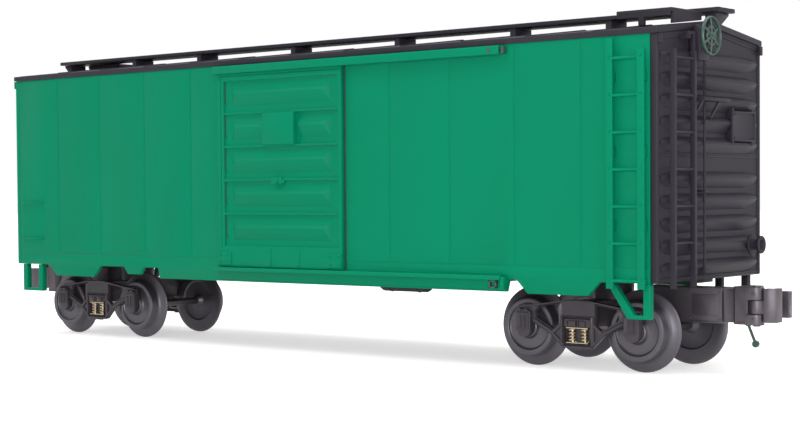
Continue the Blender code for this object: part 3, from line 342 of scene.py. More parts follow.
def makeFinish(name):
    value = finishes[name]
    made, tree, shader = newMaterial(name)
    made["recordSlot"] = value["slot"]
    shader.inputs["Metallic"].default_value = value["metallic"]
    shader.inputs["Specular IOR Level"].default_value = value["specular"]
    place = addNode(tree, "ShaderNodeTexCoord").outputs["Object"]
    cloud = addNode(tree, "ShaderNodeTexNoise", {"Scale": 1000 / value["cloud"], "Detail": 3.0,
                                                "Roughness": 0.55}, {"Vector": place})
    grain = addNode(tree, "ShaderNodeTexNoise", {"Scale": 1000 / value["grain"], "Detail": 2.0},
                    {"Vector": place})
    mixed = addNode(tree, "ShaderNodeMath", {"operation": "MULTIPLY_ADD", 1: 0.75, 2: 0.12},
                    {0: cloud.outputs["Fac"]})
    color = addNode(tree, "ShaderNodeMix", {"data_type": "RGBA", 6: linear(value["dark"]),
                                            7: linear(value["light"])}, {0: mixed.outputs[0]})
    rough = addNode(tree, "ShaderNodeMapRange", {"To Min": value["rough"] - value["roughSpread"],
                                                 "To Max": value["rough"] + value["roughSpread"]},
                    {"Value": grain.outputs["Fac"]})
    bump = addNode(tree, "ShaderNodeBump", {"Strength": 0.6, "Distance": value["height"] * mm},
                   {"Height": grain.outputs["Fac"]})
    tree.links.new(color.outputs[2], shader.inputs["Base Color"])
    tree.links.new(rough.outputs[0], shader.inputs["Roughness"])
    tree.links.new(bump.outputs[0], shader.inputs["Normal"])
    return made


green = makeFinish("lacqueredAbs")
black = makeFinish("mouldedAbs")
casting = makeFinish("dippedZinc")
wheelSteel = makeFinish("blackenedSteel")
wire = makeFinish("springWire")
couplerMetal = makeFinish("blackenedZinc")
darkGreen = makeFinish("oilyAcetal")
flangeWearHighlight = makeFinish("rolledSteel")
slotFinish = {made["recordSlot"]: made for made in (green, black, casting, flangeWearHighlight, wheelSteel,
                                                    wire, couplerMetal, darkGreen)}
print("materials made")


# the solids that keep their shape, with moulded edges

nodeSlots = {entry["node"]: entry["material_slot"] for entry in frame["record"]["subparts"]}
nodeBodies = {node: body for body, nodes in frame["record"]["behaviour"]["bodies"].items()
              for node in nodes}
for node, thing in frame["nodes"].items():
    thing.data.materials.clear()
    thing.data.materials.append(slotFinish[nodeSlots[node]])


def mergedCopy(node):  # a CAD solid copied as clean flat faces, to be worked on
    piece = copyOf(frame["nodes"][node], node + "Moulded")
    piece.parent = None
    for key in [key for key in piece.keys() if key.startswith("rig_")]:
        del piece[key]
    openUp(piece)
    bpy.ops.mesh.remove_doubles(threshold=0.000002)
    bpy.ops.mesh.dissolve_limited(angle_limit=radians(1))
    bpy.ops.object.mode_set(mode="OBJECT")
    return piece


def mouldedCopy(node, width):
    piece = soften(mergedCopy(node), width)
    finishPiece(piece, nodeBodies[node], slotFinish[nodeSlots[node]], [node])


edgeTable = {
    # start of the node's name: radius of its moulded edges
    "side_ladder": 0.16, "end_ladder": 0.14,
    "door_track_upper": 0.14, "door_track_lower": 0.14, "stirrup": 0.22,
    "lateral_board": 0.12, "brake_step": 0.12,
    "bolster": 0.20, "control_valve": 0.30, "underframe": 0.12,
}
for node in sorted(frame["nodes"]):
    for start, width in edgeTable.items():
        if node.startswith(start):
            mouldedCopy(node, width)
print("solids with moulded edges done")


# wheels

wheelTable = {"axleHeight": 11.7, "truckPlace": 101.0, "halfWheelbase": 17.85, "steps": 72,
              "wearHighlightRadius": 11.2}
wheelProfile = [  # radius and distance from the middle of the axle, from its tip inwards
    (0, 19.9), (0.75, 19.9), (1.15, 19.6), (1.2, 18.9), (2.8, 18.85), (3.1, 18.65), (3.25, 18.2),
    (3.7, 17.75), (5.2, 17.45), (6.4, 17.6), (6.75, 17.9), (6.85, 18.3), (7.05, 18.46),
    (7.95, 18.5), (8.2, 18.4), (8.42, 18.1), (8.72, 15.8), (8.95, 15.3), (9.5, 14.85),
    (10.9, 14.5), (11.5, 14.3), (11.7, 14.05), (11.6, 13.75), (11.1, 13.5), (9.4, 13.25),
    (7.4, 13.25), (6.9, 13.7), (4.0, 14.1), (2.5, 13.7), (1.9, 13.0), (1.2, 12.5), (1.2, 6.0)]


def makeWheelset(end, name, offset):
    place = (wheelTable["truckPlace"] + offset, 0, wheelTable["axleHeight"])
    profile = wheelProfile + [(radius, -height) for radius, height in wheelProfile[::-1]]
    node = f"wheelset_{end}_{name}"
    piece = spinShape(node + "Turned", profile, "Y", place, wheelTable["steps"])
    if end == "rear":
        piece.data.transform(Matrix.Rotation(pi, 4, "Z"))
    finishPiece(piece, f"axle_{end}_{name}", wheelSteel, [node], angle=28)

    def isWornAndLit(face):  # the edge of the flange, painted lighter for running wear and as a highlight
        reach = Vector((abs(face.center.x) - place[0] * mm, face.center.z - place[2] * mm))
        return reach.length > wheelTable["wearHighlightRadius"] * mm

    paintFaces(piece, flangeWearHighlight, isWornAndLit)


for end in ("front", "rear"):
    makeWheelset(end, "outer", wheelTable["halfWheelbase"])
    makeWheelset(end, "inner", -wheelTable["halfWheelbase"])
print("wheels turned")


# trucks

truckTable = {"inner": 19.0, "web": 20.0, "proud": 20.65, "rim": (0.62, -0.55), "chordLip": 0.42}
frameOutline = [(0.0, 20.1), (4.5, 20.05), (6.0, 19.75), (14.0, 18.5), (20.2, 17.7), (20.2, 10.7),
                (15.6, 10.7), (15.4, 13.0), (14.6, 13.0), (8.3, 9.9), (4.9, 6.4)]
frameWindow = [(6.0, 18.5), (8.7, 18.5), (13.0, 17.7), (13.8, 16.2), (13.5, 14.7), (7.8, 11.4),
               (6.0, 12.9)]
crossFlanges = (  # beside each window, to the journal, to the seat and to the column
    ((8.0, 10.9), (14.4, 14.3), (15.4, 13.9), (8.3, 10.1)),
    ((8.3, 10.9), (8.5, 10.3), (4.7, 6.6), (4.4, 7.4)),
    ((7.9, 10.2), (8.4, 11.0), (5.6, 13.4), (5.4, 12.5)))
nestWindow = [(-4.5, 15.0), (4.5, 15.0), (4.5, 7.9), (4.1, 7.5), (-4.1, 7.5), (-4.5, 7.9)]
boxTable = {"half": 2.45, "low": 10.6, "high": 16.5, "depth": 0.6, "lid": 0.4}


def cutAway(piece, cutter):
    useModifier(piece, "BOOLEAN", operation="DIFFERENCE", solver="EXACT", object=cutter)
    bpy.data.objects.remove(cutter)


def makeSideFrame():  # the near frame of the front truck, cast with a rim round every edge
    middle, inner = wheelTable["truckPlace"], truckTable["inner"]
    face = -truckTable["proud"]

    def at(points, y):
        return [(middle + x, y, z) for x, z in points]

    outline = frameOutline + [(-x, z) for x, z in frameOutline[:0:-1]]
    plate = traceShape("framePlate", at(outline, -inner), (0, inner + face, 0))
    for points in (nestWindow, frameWindow, [(-x, z) for x, z in frameWindow]):
        cutAway(plate, traceShape("frameCutter", at(points, 2 - inner), (0, -6, 0)))
    stepFaces(plate, lambda item: item.normal.y < -0.9, truckTable["rim"])
    soften(plate, 0.13)

    parts = [plate]
    for side in (-1, 1):
        box = middle + side * wheelTable["halfWheelbase"]
        half, low, high = boxTable["half"], boxTable["low"], boxTable["high"]
        outline = [(box - half, low), (box + half, low), (box + half, high - 0.4),
                   (box + half - 0.4, high), (box - half + 0.4, high), (box - half, high - 0.4)]
        housing = traceShape("boxHousing", [(x, face + 0.7, z) for x, z in outline],
                             (0, -boxTable["depth"] - 0.7, 0))
        stepFaces(housing, lambda item: item.normal.y < -0.9,
                  (0.45, 0), (0.12, boxTable["lid"]), (0.35, -0.2))
        parts.append(soften(housing, 0.12))
        lid = face - boxTable["depth"] - boxTable["lid"]
        for shift in (-0.7, 0.7):
            parts.append(addBlock("lidRib", (box + shift - 0.14, lid - 0.02, low + 1.1),
                                  (box + shift + 0.14, lid + 0.4, high - 1.4), 0.05))
        for shift in (-1.0, 1.0):
            parts.append(addBlock("hingeLug", (box + shift - 0.4, lid + 0.1, high - 0.2),
                                  (box + shift + 0.4, face + 0.3, high + 0.75), 0.16))
        parts.append(addRod("hingePin", (box - 1.7, lid + 0.35, high + 0.2),
                            (box + 1.7, lid + 0.35, high + 0.2), 0.26, 12))
        parts.append(addRod("boxFoot", (box, 0.1 - inner, 11.0), (box, face - 0.35, 11.0), 2.3, 32,
                            0.25))
    for side in (-1, 1):
        for points in crossFlanges:
            shape = at([(side * x, z) for x, z in points], face + 0.7)
            parts.append(soften(traceShape("crossFlange", shape, (0, -0.7, 0)), 0.1))
        edge = middle + side * 5.2
        parts.append(addBlock("columnRib", (edge - 0.3, face, 8.0),
                              (edge + 0.3, face + 0.9, 15.4), 0.12))
    chord = frameOutline[:5]
    for side in (-1, 1):  # a lip along the top chord, which catches the light from above
        shape = [(side * x, z) for x, z in chord]
        shape += [(side * x, z - truckTable["chordLip"]) for x, z in chord[::-1]]
        parts.append(soften(traceShape("chordLip", at(shape, face + 0.5), (0, -1.0, 0)), 0.1))
    parts.append(addBlock("seatLip", (middle - 5.0, face - 0.25, 6.3),
                          (middle + 5.0, face + 0.6, 7.0), 0.12))
    # a dark plate behind the springs, which closes the nest toward the axles: it stands in for the
    # shade seen behind the springs
    parts.append(addBlock("nestBack", (middle - 4.6, -inner - 0.1, 7.4),
                          (middle + 4.6, 0.4 - inner, 15.2), 0.08))
    parts.append(addBlock("seatBump", (middle - 3.0, face - 0.15, 5.95),
                          (middle + 1.2, face + 0.6, 6.5), 0.12))
    return joined("side_frameCast", parts)


springTable = {"aside": 2.05, "low": 8.0, "high": 12.05, "radius": 0.95, "wire": 0.28, "turns": 4.2,
               "stepsPerTurn": 24, "core": 0.42, "coreSpan": (7.9, 12.1), "plates": (7.75, 12.0),
               "plateLong": 3.6, "plateDeep": 1.2, "plateThick": 0.28}


def addSpring(x, y):
    low, high, turns = springTable["low"], springTable["high"], springTable["turns"]
    steps = int(springTable["stepsPerTurn"] * turns)
    deselect()
    bpy.ops.mesh.primitive_circle_add(vertices=8, radius=springTable["wire"] * mm,
                                      fill_type="NOTHING", rotation=(pi / 2, 0, 0),
                                      location=(springTable["radius"] * mm, 0, 0))
    piece = settle(bpy.context.object)
    piece.name = "springCoil"
    useModifier(piece, "SCREW", angle=2 * pi * turns, screw_offset=(high - low) * mm,
                steps=steps, render_steps=steps, axis="Z")
    openUp(piece)
    bpy.ops.mesh.fill_holes(sides=0)
    closeUp(piece)
    piece.data.transform(Matrix.Translation(Vector((x, y, low)) * mm))
    return piece


def makeSprings():  # two coils round their cores, between two plates
    middle = wheelTable["truckPlace"]
    y = -(truckTable["inner"] + truckTable["web"]) / 2
    half, deep = springTable["plateLong"], springTable["plateDeep"]
    parts = []
    for z in springTable["plates"]:
        parts.append(addBlock("springPlate", (middle - half, y - deep, z),
                              (middle + half, y + deep, z + springTable["plateThick"]), 0.08))
    foot, top = springTable["coreSpan"]
    for side in (-1, 1):
        x = middle + side * springTable["aside"]
        parts.append(addSpring(x, y))
        parts.append(addRod("springCore", (x, y, foot), (x, y, top), springTable["core"], 12))
    return joined("springsCoiled", parts)


def placeTruckPair(model, base, finish):  # near and far, front and rear
    twins = {"front_near": model, "front_far": copyOf(model, base, mirror="Y"),
             "rear_far": copyOf(model, base, halfTurn=True)}
    twins["rear_near"] = copyOf(twins["front_far"], base, halfTurn=True)
    for key, piece in twins.items():
        piece.name = f"{base}_{key}Cast"
        finishPiece(piece, "truck_" + key.split("_")[0], finish, [f"{base}_{key}"])


placeTruckPair(makeSideFrame(), "side_frame", casting)
placeTruckPair(makeSprings(), "springs", wire)


bolsterTable = {"face": -20.4, "lugs": ((-2.7, -0.3), (0.9, 2.8)), "half": 4.0}


def makeBolsterBlocks():  # the lugs seen on each bolster end, over the springs
    middle, face = wheelTable["truckPlace"], bolsterTable["face"]
    parts = []
    for start, end in bolsterTable["lugs"]:
        parts.append(addBlock("bolsterLug", (middle + start, -21.1, 12.55),
                              (middle + end, face, 14.2), 0.15))
        parts.append(addBlock("bolsterBit", (middle + start - 0.75, -20.95, 12.6),
                              (middle + start - 0.35, face, 14.0), 0.08))
    parts.append(addBlock("bolsterRail", (middle - bolsterTable["half"], -21.0, 14.35),
                          (middle + bolsterTable["half"], face, 14.75), 0.12))
    return joined("bolsterLugs", parts)


lugs = makeBolsterBlocks()
for end in ("front", "rear"):
    for side in ("near", "far"):
        piece = copyOf(lugs, f"bolsterLugs_{end}_{side}", halfTurn=end == "rear",
                       mirror="Y" if side == "far" else None)
        finishPiece(piece, "truck_" + end, casting)
bpy.data.objects.remove(lugs)
print("trucks cast")


# body


def placeRivets(name, places, size, axis):  # low domes with few faces, since there are hundreds
    deselect()
    bpy.ops.mesh.primitive_uv_sphere_add(segments=8, ring_count=4, radius=size * mm)
    dome = settle(bpy.context.object)
    dome.data.transform(Matrix.Scale(0.6, 4, along(axis)))
    row = joined(name, [copyOf(dome, name + "Part", place) for place in places])
    bpy.data.objects.remove(dome)
    return row


def rivetRow(name, start, end, pitch, size, axis):
    start, end = Vector(start), Vector(end)
    count = round((end - start).length / pitch)
    return placeRivets(name, [start.lerp(end, i / count) for i in range(count + 1)], size, axis)


sideTable = {"face": 30.95, "seams": (42.0, 64.3, 86.9, 108.9), "seamWidth": 0.26,
             "seamDepth": 0.10, "seamSpan": (30.9, 92.6), "seamRivets": (31.4, 92.4),
             "postColumns": (-31.0, 27.2), "postRivets": (31.4, 89.6), "cornerColumn": 128.9,
             "sillGroove": (29.5, 30.2), "grooveSpans": ((-131, -30.3), (26.6, 131)),
             "sillRivets": ((-129.0, -30.8), (84.2, 117.0)), "sillHeight": 28.5,
             "ironHeights": (35.5, 48.4),
             # sill corners: where they are along the side, and how far they move along and up
             "sillCorners": ((-73.9, -1.4, 0.0), (-72.0, -1.4, 1.1), (-65.8, -1.6, 1.1),
                             (-63.9, -1.7, 0.0), (-55.4, -3.0, 0.0), (-54.6, -3.0, 0.0))}


def makeSides():
    side = mergedCopy("side_near")
    for place, away, up in sideTable["sillCorners"]:
        nudge(side, lambda vert: abs(vert.co.x / mm - place) < 0.15 and vert.co.z < 26.4 * mm,
              away, up)
    face = -sideTable["face"]
    depth = sideTable["seamDepth"]
    half = sideTable["seamWidth"] / 2
    low, high = sideTable["seamSpan"]
    cutters = [addBlock("seamCutter", (x - half, face - 1, low), (x + half, face + depth, high))
               for seam in sideTable["seams"] for x in (-seam, seam)]
    for z in sideTable["ironHeights"]:  # round grab irons take the place of the plain ones
        cutters.append(addBlock("ironCutter", (-130.0, face - 2, z - 0.8),
                                (-118.3, face - 0.005, z + 0.8)))
    low, high = sideTable["sillGroove"]
    for start, end in sideTable["grooveSpans"]:
        cutters.append(addBlock("sillCutter", (start, face - 1, low), (end, face + depth, high)))
    cutAway(side, joined("sideCutters", cutters))
    soften(side, 0.09)
    rows = [side]
    low, high = sideTable["postRivets"]
    for x in sideTable["postColumns"]:
        rows.append(rivetRow("postRivets", (x, face, low), (x, face, high), 1.5, 0.17, "Y"))
    low, high = sideTable["seamRivets"]
    for seam in sideTable["seams"]:
        for x in (-seam - 0.75, seam + 0.75):
            rows.append(rivetRow("seamRivets", (x, face, low), (x, face, high), 1.5, 0.13, "Y"))
    for x in (-sideTable["cornerColumn"], sideTable["cornerColumn"]):
        rows.append(rivetRow("cornerRivets", (x, face, 27.0), (x, face, high), 1.1, 0.15, "Y"))
    z = sideTable["sillHeight"]
    for start, end in sideTable["sillRivets"]:
        rows.append(rivetRow("sillRivets", (start, face, z), (end, face, z), 1.5, 0.13, "Y"))
    side = joined("side_nearSheet", rows)
    finishTwins(side, "side_farSheet", green, nodes=("side_near", "side_far"))


endTable = {"inner": 130.4, "face": 132.0, "edge": 132.5, "halfWidth": 30.95, "low": 26.1,
            "eave": 93.3, "peak": 97.0, "wrapStart": 130.3, "wall": 1.4, "ribHalf": 2.35,
            "ribDepth": 1.75, "ribRun": 20.5, "ribReach": 28.7, "seam": 60.9,
            "ribs": (29.5, 35.6, 41.75, 47.9, 54.0, 63.5, 69.4, 75.3, 81.2, 87.1)}


def makeEndRib(height):  # rounded crest, steep above and long below, drawn thin at both ends
    face, half, depth = endTable["face"], endTable["ribHalf"], endTable["ribDepth"]
    run = endTable["ribRun"]
    section = [(face - 0.3, -half), (face, -half), (face + 0.62 * depth, -0.55),
               (face + depth, 0.35), (face + depth, 1.0), (face + 0.6 * depth, 1.65), (face, half),
               (face - 0.3, half)]
    rib = traceShape("endRib", [(x, -run, height + z) for x, z in section], (0, 2 * run, 0))
    reach = endTable["ribReach"] - run
    for sign in (-1, 1):
        openUp(rib, lambda item: item.normal.y * sign > 0.9)
        bpy.ops.mesh.extrude_region_move(TRANSFORM_OT_translate=move(0, sign * reach * 0.7, 0))
        center = (face * mm, 0, (height + 0.5) * mm)
        bpy.ops.transform.resize(value=(0.8, 1, 0.78), center_override=center)
        bpy.ops.mesh.extrude_region_move(TRANSFORM_OT_translate=move(0, sign * reach * 0.3, 0))
        bpy.ops.transform.resize(value=(0.3, 1, 0.55), center_override=center)
        closeUp(rib)
    return soften(rib, 0.16, angle=24)


def makeEnd():
    edge, face, half = endTable["edge"], endTable["face"], endTable["halfWidth"]
    low, eave, peak = endTable["low"], endTable["eave"], endTable["peak"]
    wide = half - 0.2
    gable = [(-wide, low), (wide, low), (wide, eave), (0, peak), (-wide, eave)]
    parts = [traceShape("endPanel", [(endTable["inner"], y, z) for y, z in gable],
                        (face - endTable["inner"], 0, 0))]
    for sign in (-1, 1):
        corner = addBlock("endWrap", (endTable["wrapStart"], sign * (half - endTable["wall"]), low),
                          (edge, sign * half, eave))
        parts.append(soften(corner, 0.5, 4))
        parts.append(addBlock("cornerCap", (edge - 0.1, sign * 29.2, 90.5),
                              (edge + 0.8, sign * 30.85, 93.1), 0.15))
        band = [(edge - 0.6, sign * 29.9, eave - 1.7), (edge - 0.6, sign * 29.9, eave - 0.05),
                (edge - 0.6, 0, peak - 0.1), (edge - 0.6, 0, peak - 1.75)]
        parts.append(soften(traceShape("gableBand", band, (0.35, 0, 0)), 0.07))
        parts.append(rivetRow("gableRivets", (edge - 0.22, sign * 29.2, eave - 0.8),
                              (edge - 0.22, sign * 0.7, peak - 0.95), 1.4, 0.24, "X"))
        parts.append(rivetRow("wrapRivets", (edge, sign * 30.35, 28.0),
                              (edge, sign * 30.35, 89.8), 1.2, 0.16, "X"))
    for height, size in ((endTable["seam"], 0.55), (low + 0.65, 0.6)):
        parts.append(addBlock("seamStrip", (face - 0.1, -29.4, height - size),
                              (face + 0.3, 29.4, height + size), 0.08))
        parts.append(rivetRow("seamRivets", (face + 0.3, -28.8, height),
                              (face + 0.3, 28.8, height), 1.35, 0.22, "X"))
    parts += [makeEndRib(height) for height in endTable["ribs"]]
    end = joined("end_frontPressed", parts)
    rear = finishTwins(end, "end_rearPressed", black, nodes=("end_front", "end_rear"))
    side = (half - 0.25) * mm  # one wrap of each end is green on its side face
    paintFaces(end, green, lambda face: face.center.y > side and face.normal.y > 0.4)
    paintFaces(rear, green, lambda face: face.center.y < -side and face.normal.y < -0.4)


roofTable = {"eave": (30.95, 94.8), "ridge": 98.45, "thick": 0.2, "start": -130.55, "pitch": 22.2,
             "count": 12, "gap": 1.5, "end": 132.6}


def makeRoof():  # raised panels between the seams, as pressed steel roofs have
    parts = [soften(mergedCopy("roof"), 0.12)]
    (edge, low), ridge, thick = roofTable["eave"], roofTable["ridge"], roofTable["thick"]
    for i in range(roofTable["count"]):
        start = roofTable["start"] + i * roofTable["pitch"] + roofTable["gap"] / 2
        end = start + roofTable["pitch"] - roofTable["gap"]
        start, end = max(start, -roofTable["end"]), min(end, roofTable["end"])
        for sign in (-1, 1):
            section = [(start, sign * edge, low - 0.1), (start, sign * edge, low + thick * 0.7),
                       (start, sign * (edge - 0.5), low + thick), (start, 0, ridge + thick),
                       (start, 0, ridge - 0.3)]
            parts.append(soften(traceShape("roofPanel", section, (end - start, 0, 0)), 0.14))
    for sign in (-1, 1):  # a rivet row along each eave
        parts.append(rivetRow("eaveRivets", (-131.5, sign * 31.35, 94.0),
                              (131.5, sign * 31.35, 94.0), 2.2, 0.15, "Y"))
    finishPiece(joined("roofPressed", parts), "car", black, ["roof"])


boardTable = {"boltStart": 2.6, "boltPitch": 22.2, "boltRows": (-4.1, -1.4, 1.4, 4.1),
              "top": 101.78, "angleLow": (115.5, -22.6, 98.55),
              "angleHigh": (131.8, -22.0, 100.65)}


def makeRunningBoard():  # planks with bolts over the saddles
    places = [(boardTable["boltStart"] + boardTable["boltPitch"] * k, y, boardTable["top"])
              for k in range(-5, 6) for y in boardTable["boltRows"]]
    parts = [soften(mergedCopy("running_board"), 0.1), placeRivets("boardBolts", places, 0.24, "Z")]
    finishPiece(joined("running_boardPlanked", parts), "car", black, ["running_board"])


def makeBoardRails():  # an angle under the outer edge of each end walkway
    rail = addBlock("walkwayRailFront", boardTable["angleLow"], boardTable["angleHigh"], 0.12)
    finishTwins(rail, "walkwayRailRear", black)


makeSides()
makeEnd()
makeRoof()
makeRunningBoard()
makeBoardRails()
print("sides, ends and roof done")


# doors, tracks and grab irons

doorTable = {"left": -28.2, "right": 24.4, "plane": -32.55, "floor": -31.75,
             "rows": (34.2, 45.06, 55.92, 66.78, 77.64), "ribFoot": 1.96, "ribHead": 7.96,
             "ribCrest": 5.9, "ribRise": 1.45, "ribStart": -22.0, "ribEnd": 19.6, "ribTaper": 2.1,
             "tackRow": 3, "tackSpan": (-7.0, 7.4), "latchHeight": 54.8, "latchPins": (-1.75, 1.45),
             "latchSlot": (-1.15, 0.85), "slotSpan": (52.9, 57.5), "stileSeam": (33.4, 89.0),
             "headSeam": (89.3, 89.6), "stileRivets": (35.0, 88.6), "housingBolts": (28.9, 31.3),
             # dark strips painted as the shade in the gap at the left edge of each row: foot and
             # head over the row, and reach from the door's edge
             "gapShadeStrips": ((3.0, 10.0, 3.12), (2.7, 3.0, 3.75))}


def makeDoorRib(row, start, end):  # a long slope below the crest and a short one above it
    floor, rise, taper = doorTable["floor"], doorTable["ribRise"], doorTable["ribTaper"]
    foot, crest, head = (row + doorTable[key] for key in ("ribFoot", "ribCrest", "ribHead"))
    section = [(floor + 0.1, foot), (floor, foot), (floor - rise, crest), (floor, head),
               (floor + 0.1, head)]
    rib = traceShape("doorRib", [(start, y, z) for y, z in section], (end - start, 0, 0))
    halfway = (floor - rise / 2) * mm
    for edge, way in ((start, taper), (end, -taper)):  # the crest is shorter than the foot
        nudge(rib, lambda vert: vert.co.y < halfway and abs(vert.co.x - edge * mm) < 0.01 * mm,
              way)
    return soften(rib, 0.12, angle=15)


def makeDoors():
    door = mergedCopy("door_near")
    left, right, plane = doorTable["left"], doorTable["right"], doorTable["plane"]
    start, end, floor = doorTable["ribStart"], doorTable["ribEnd"], doorTable["floor"]
    for across, heights, front, back in (
            (doorTable["latchSlot"], doorTable["slotSpan"], -36, plane - 0.5),
            ((left + 1.45, left + 1.75), doorTable["stileSeam"], plane - 1, plane + 0.3),
            ((left + 1.45, right - 0.5), doorTable["headSeam"], plane - 1, plane + 0.3)):
        cutAway(door, addBlock("doorCutter", (across[0], front, heights[0]),
                               (across[1], back, heights[1])))
    soften(door, 0.13)
    parts = [door]
    for place, row in enumerate(doorTable["rows"]):
        spans = [(start, end)]
        if place == doorTable["tackRow"]:  # the tack board stands in the middle of this row
            spans = [(start, doorTable["tackSpan"][0]), (doorTable["tackSpan"][1], end)]
        parts += [makeDoorRib(row, *span) for span in spans]
    foot, head = doorTable["stileRivets"]
    for x in (left + 0.8, right - 0.7):
        parts.append(rivetRow("stileRivets", (x, plane, foot), (x, plane, head), 1.55, 0.14, "Y"))
    z = doorTable["latchHeight"]
    for x in doorTable["latchPins"]:  # the two round heads on the latch's pins
        parts.append(addRod("latchPin", (x, plane - 0.6, z), (x, plane - 1.35, z), 0.5, 16, 0.14))
    for x in (left + 1.2, left + 4.6, right - 4.6, right - 1.2):  # bolts of the roller housings
        for z in doorTable["housingBolts"]:
            parts.append(addRod("housingBolt", (x, plane - 0.4, z), (x, plane - 0.8, z), 0.3, 8,
                                0.08))
    doors = ("door_near", "door_far")
    finishTwins(joined("door_nearMoulded", parts), "door_farMoulded", green, doors, doors)
    gapShadeStrips = []  # dark strips in each panel, painted shade of the gap at the left edge of its recess
    for row in doorTable["rows"]:
        for low, high, reach in doorTable["gapShadeStrips"]:
            gapShadeStrips.append(addBlock("rowStop", (left + 2.82, floor + 0.1, row + low),
                                  (left + reach, floor - 0.25, row + high), 0.06))
    finishTwins(joined("doorStopsNear", gapShadeStrips), "doorStopsFar", darkGreen, doors)


ironTable = {"feet": (-128.6, -118.0), "wall": -30.8, "standoff": 1.1, "wire": 0.27}


def makeGrabIrons():  # bent wires with flattened, bolted feet
    out = Vector((0, -ironTable["standoff"], 0))
    parts = []
    for z in sideTable["ironHeights"]:
        first, last = (Vector((x, ironTable["wall"], z)) for x in ironTable["feet"])
        path = [first, first + out * 0.75, first.lerp(last, 0.04) + out,
                first.lerp(last, 0.96) + out, last + out * 0.75, last]
        parts.append(addPipe("grabIron", path, ironTable["wire"]))
        for x in ironTable["feet"]:
            parts.append(addRod("grabFoot", (x, -30.9, z), (x, -31.15, z), 0.6, 12, 0.08))
    finishTwins(joined("grabIronsNear", parts), "grabIronsFar", green)


ladderTable = {"rungs": 7, "low": 27.25, "pitch": 10.035, "stiles": (119.0, 128.7), "front": -33.2}


def makeLadderBolts():
    parts = []
    front = ladderTable["front"]
    for i in range(ladderTable["rungs"]):
        z = ladderTable["low"] + ladderTable["pitch"] * i
        for x in ladderTable["stiles"]:
            parts.append(addRod("ladderBolt", (x, front, z), (x, front - 0.38, z), 0.42, 6, 0.08))
    finishTwins(joined("ladderBoltsNear", parts), "ladderBoltsFar", green)


trackTable = {"end": 83.3, "front": -33.65, "wall": -30.95, "slot": (79.7, 80.6),
              "upperPad": (90.5, 92.5), "lowerPad": (23.5, 25.9), "lowerShadePosts": (78.9, 81.1),
              "block": (23.3, 26.9), "postGapAcross": (24.45, 25.1), "postGapSpan": (27.5, 90.2)}


def makeTrackEnds():  # dark blocks painted as the shade at the ends of both tracks and in the slot before each stop
    end, front, wall = trackTable["end"], trackTable["front"], trackTable["wall"]
    (left, right), (low, high) = trackTable["slot"], trackTable["upperPad"]
    parts = [addBlock("upperPad", (end - 0.1, wall, low), (end + 1.3, wall - 1.9, high), 0.12),
             addBlock("upperSlot", (left, front + 0.3, low + 0.1), (right, front - 0.06, high),
                      0.05)]
    (left, right), (low, high) = trackTable["lowerShadePosts"], trackTable["lowerPad"]
    for x in (left, right):
        parts.append(addBlock("lowerPad", (x, wall, low), (x + 0.55, front + 0.9, high), 0.1))
    for z in (low, high - 0.55):
        parts.append(addBlock("lowerPad", (left, wall, z), (right + 0.55, front + 0.9, z + 0.5),
                              0.1))
    # a dark strip painted as the shade in the gap beside the closed door, thin enough for the door
    # to pass
    (left, right), (low, high) = trackTable["postGapAcross"], trackTable["postGapSpan"]
    parts.append(addBlock("doorSeal", (left, wall + 0.1, low), (right, wall - 0.12, high), 0.03))
    finishTwins(joined("trackPadsNear", parts), "trackPadsFar", darkGreen)
    low, high = trackTable["block"]
    block = addBlock("trackBlockNear", (end - 0.1, wall, low), (end + 1.2, front + 0.4, high),
                     0.15)
    finishTwins(block, "trackBlockFar", green)


makeDoors()
makeGrabIrons()
makeLadderBolts()
makeTrackEnds()
print("doors and their hardware done")


# brake gear and other fittings on the ends

brakeTable = {"wheel": (137.5, -9.9, 93.4), "rim": 5.0, "ring": 2.5, "spokes": 6, "rodX": 133.95,
              "rodY": -7.1, "rodFoot": 27.2, "rodTop": 76.6, "chainTop": 86.4, "links": 13,
              "linkPitch": 0.78, "guides": (28.6, 50.9, 70.2), "boss": 93.9,
              "housingBolts": (89.6, 94.6), "boltAside": 2.3}


def addRing(name, center, major, minor, axis, steps, sides):
    deselect()
    turn = {"X": (0, pi / 2, 0), "Y": (pi / 2, 0, 0)}[axis]
    bpy.ops.mesh.primitive_torus_add(location=Vector(center) * mm, rotation=turn,
                                     major_radius=major * mm, minor_radius=minor * mm,
                                     major_segments=steps, minor_segments=sides)
    ring = settle(bpy.context.object)
    ring.name = name
    return ring


def makeBrakeWheel():
    x, y, z = brakeTable["wheel"]
    rim = brakeTable["rim"]
    band = [(rim - 0.15, -0.4), (rim + 0.05, -0.5), (rim + 0.3, -0.45), (rim + 0.45, -0.2),
            (rim + 0.4, 0.25), (rim + 0.25, 0.45), (rim, 0.45), (rim - 0.12, 0.2),
            (rim - 0.15, -0.4)]
    parts = [spinShape("wheelRim", band, "X", (x, y, z), 56),
             addRing("wheelRing", (x + 0.05, y, z), brakeTable["ring"], 0.26, "X", 36, 8),
             addRod("wheelHub", (135.9, y, z), (138.1, y, z), 0.85, 24, 0.2),
             addRod("hubNut", (138.0, y, z), (138.45, y, z), 0.5, 6, 0.08)]
    center, lean = Vector((x, y, z)), Vector((0.2, 0, 0))
    for i in range(brakeTable["spokes"]):
        angle = (2 * i + 1) * pi / brakeTable["spokes"]
        way = Vector((0, cos(angle), sin(angle)))
        parts.append(addRod("wheelSpoke", center + lean + way * 0.5,
                            center - lean + way * (rim + 0.1), 0.3, 10))
    finishPiece(joined("brake_wheelCast", parts), "car", darkGreen, ["brake_wheel"])


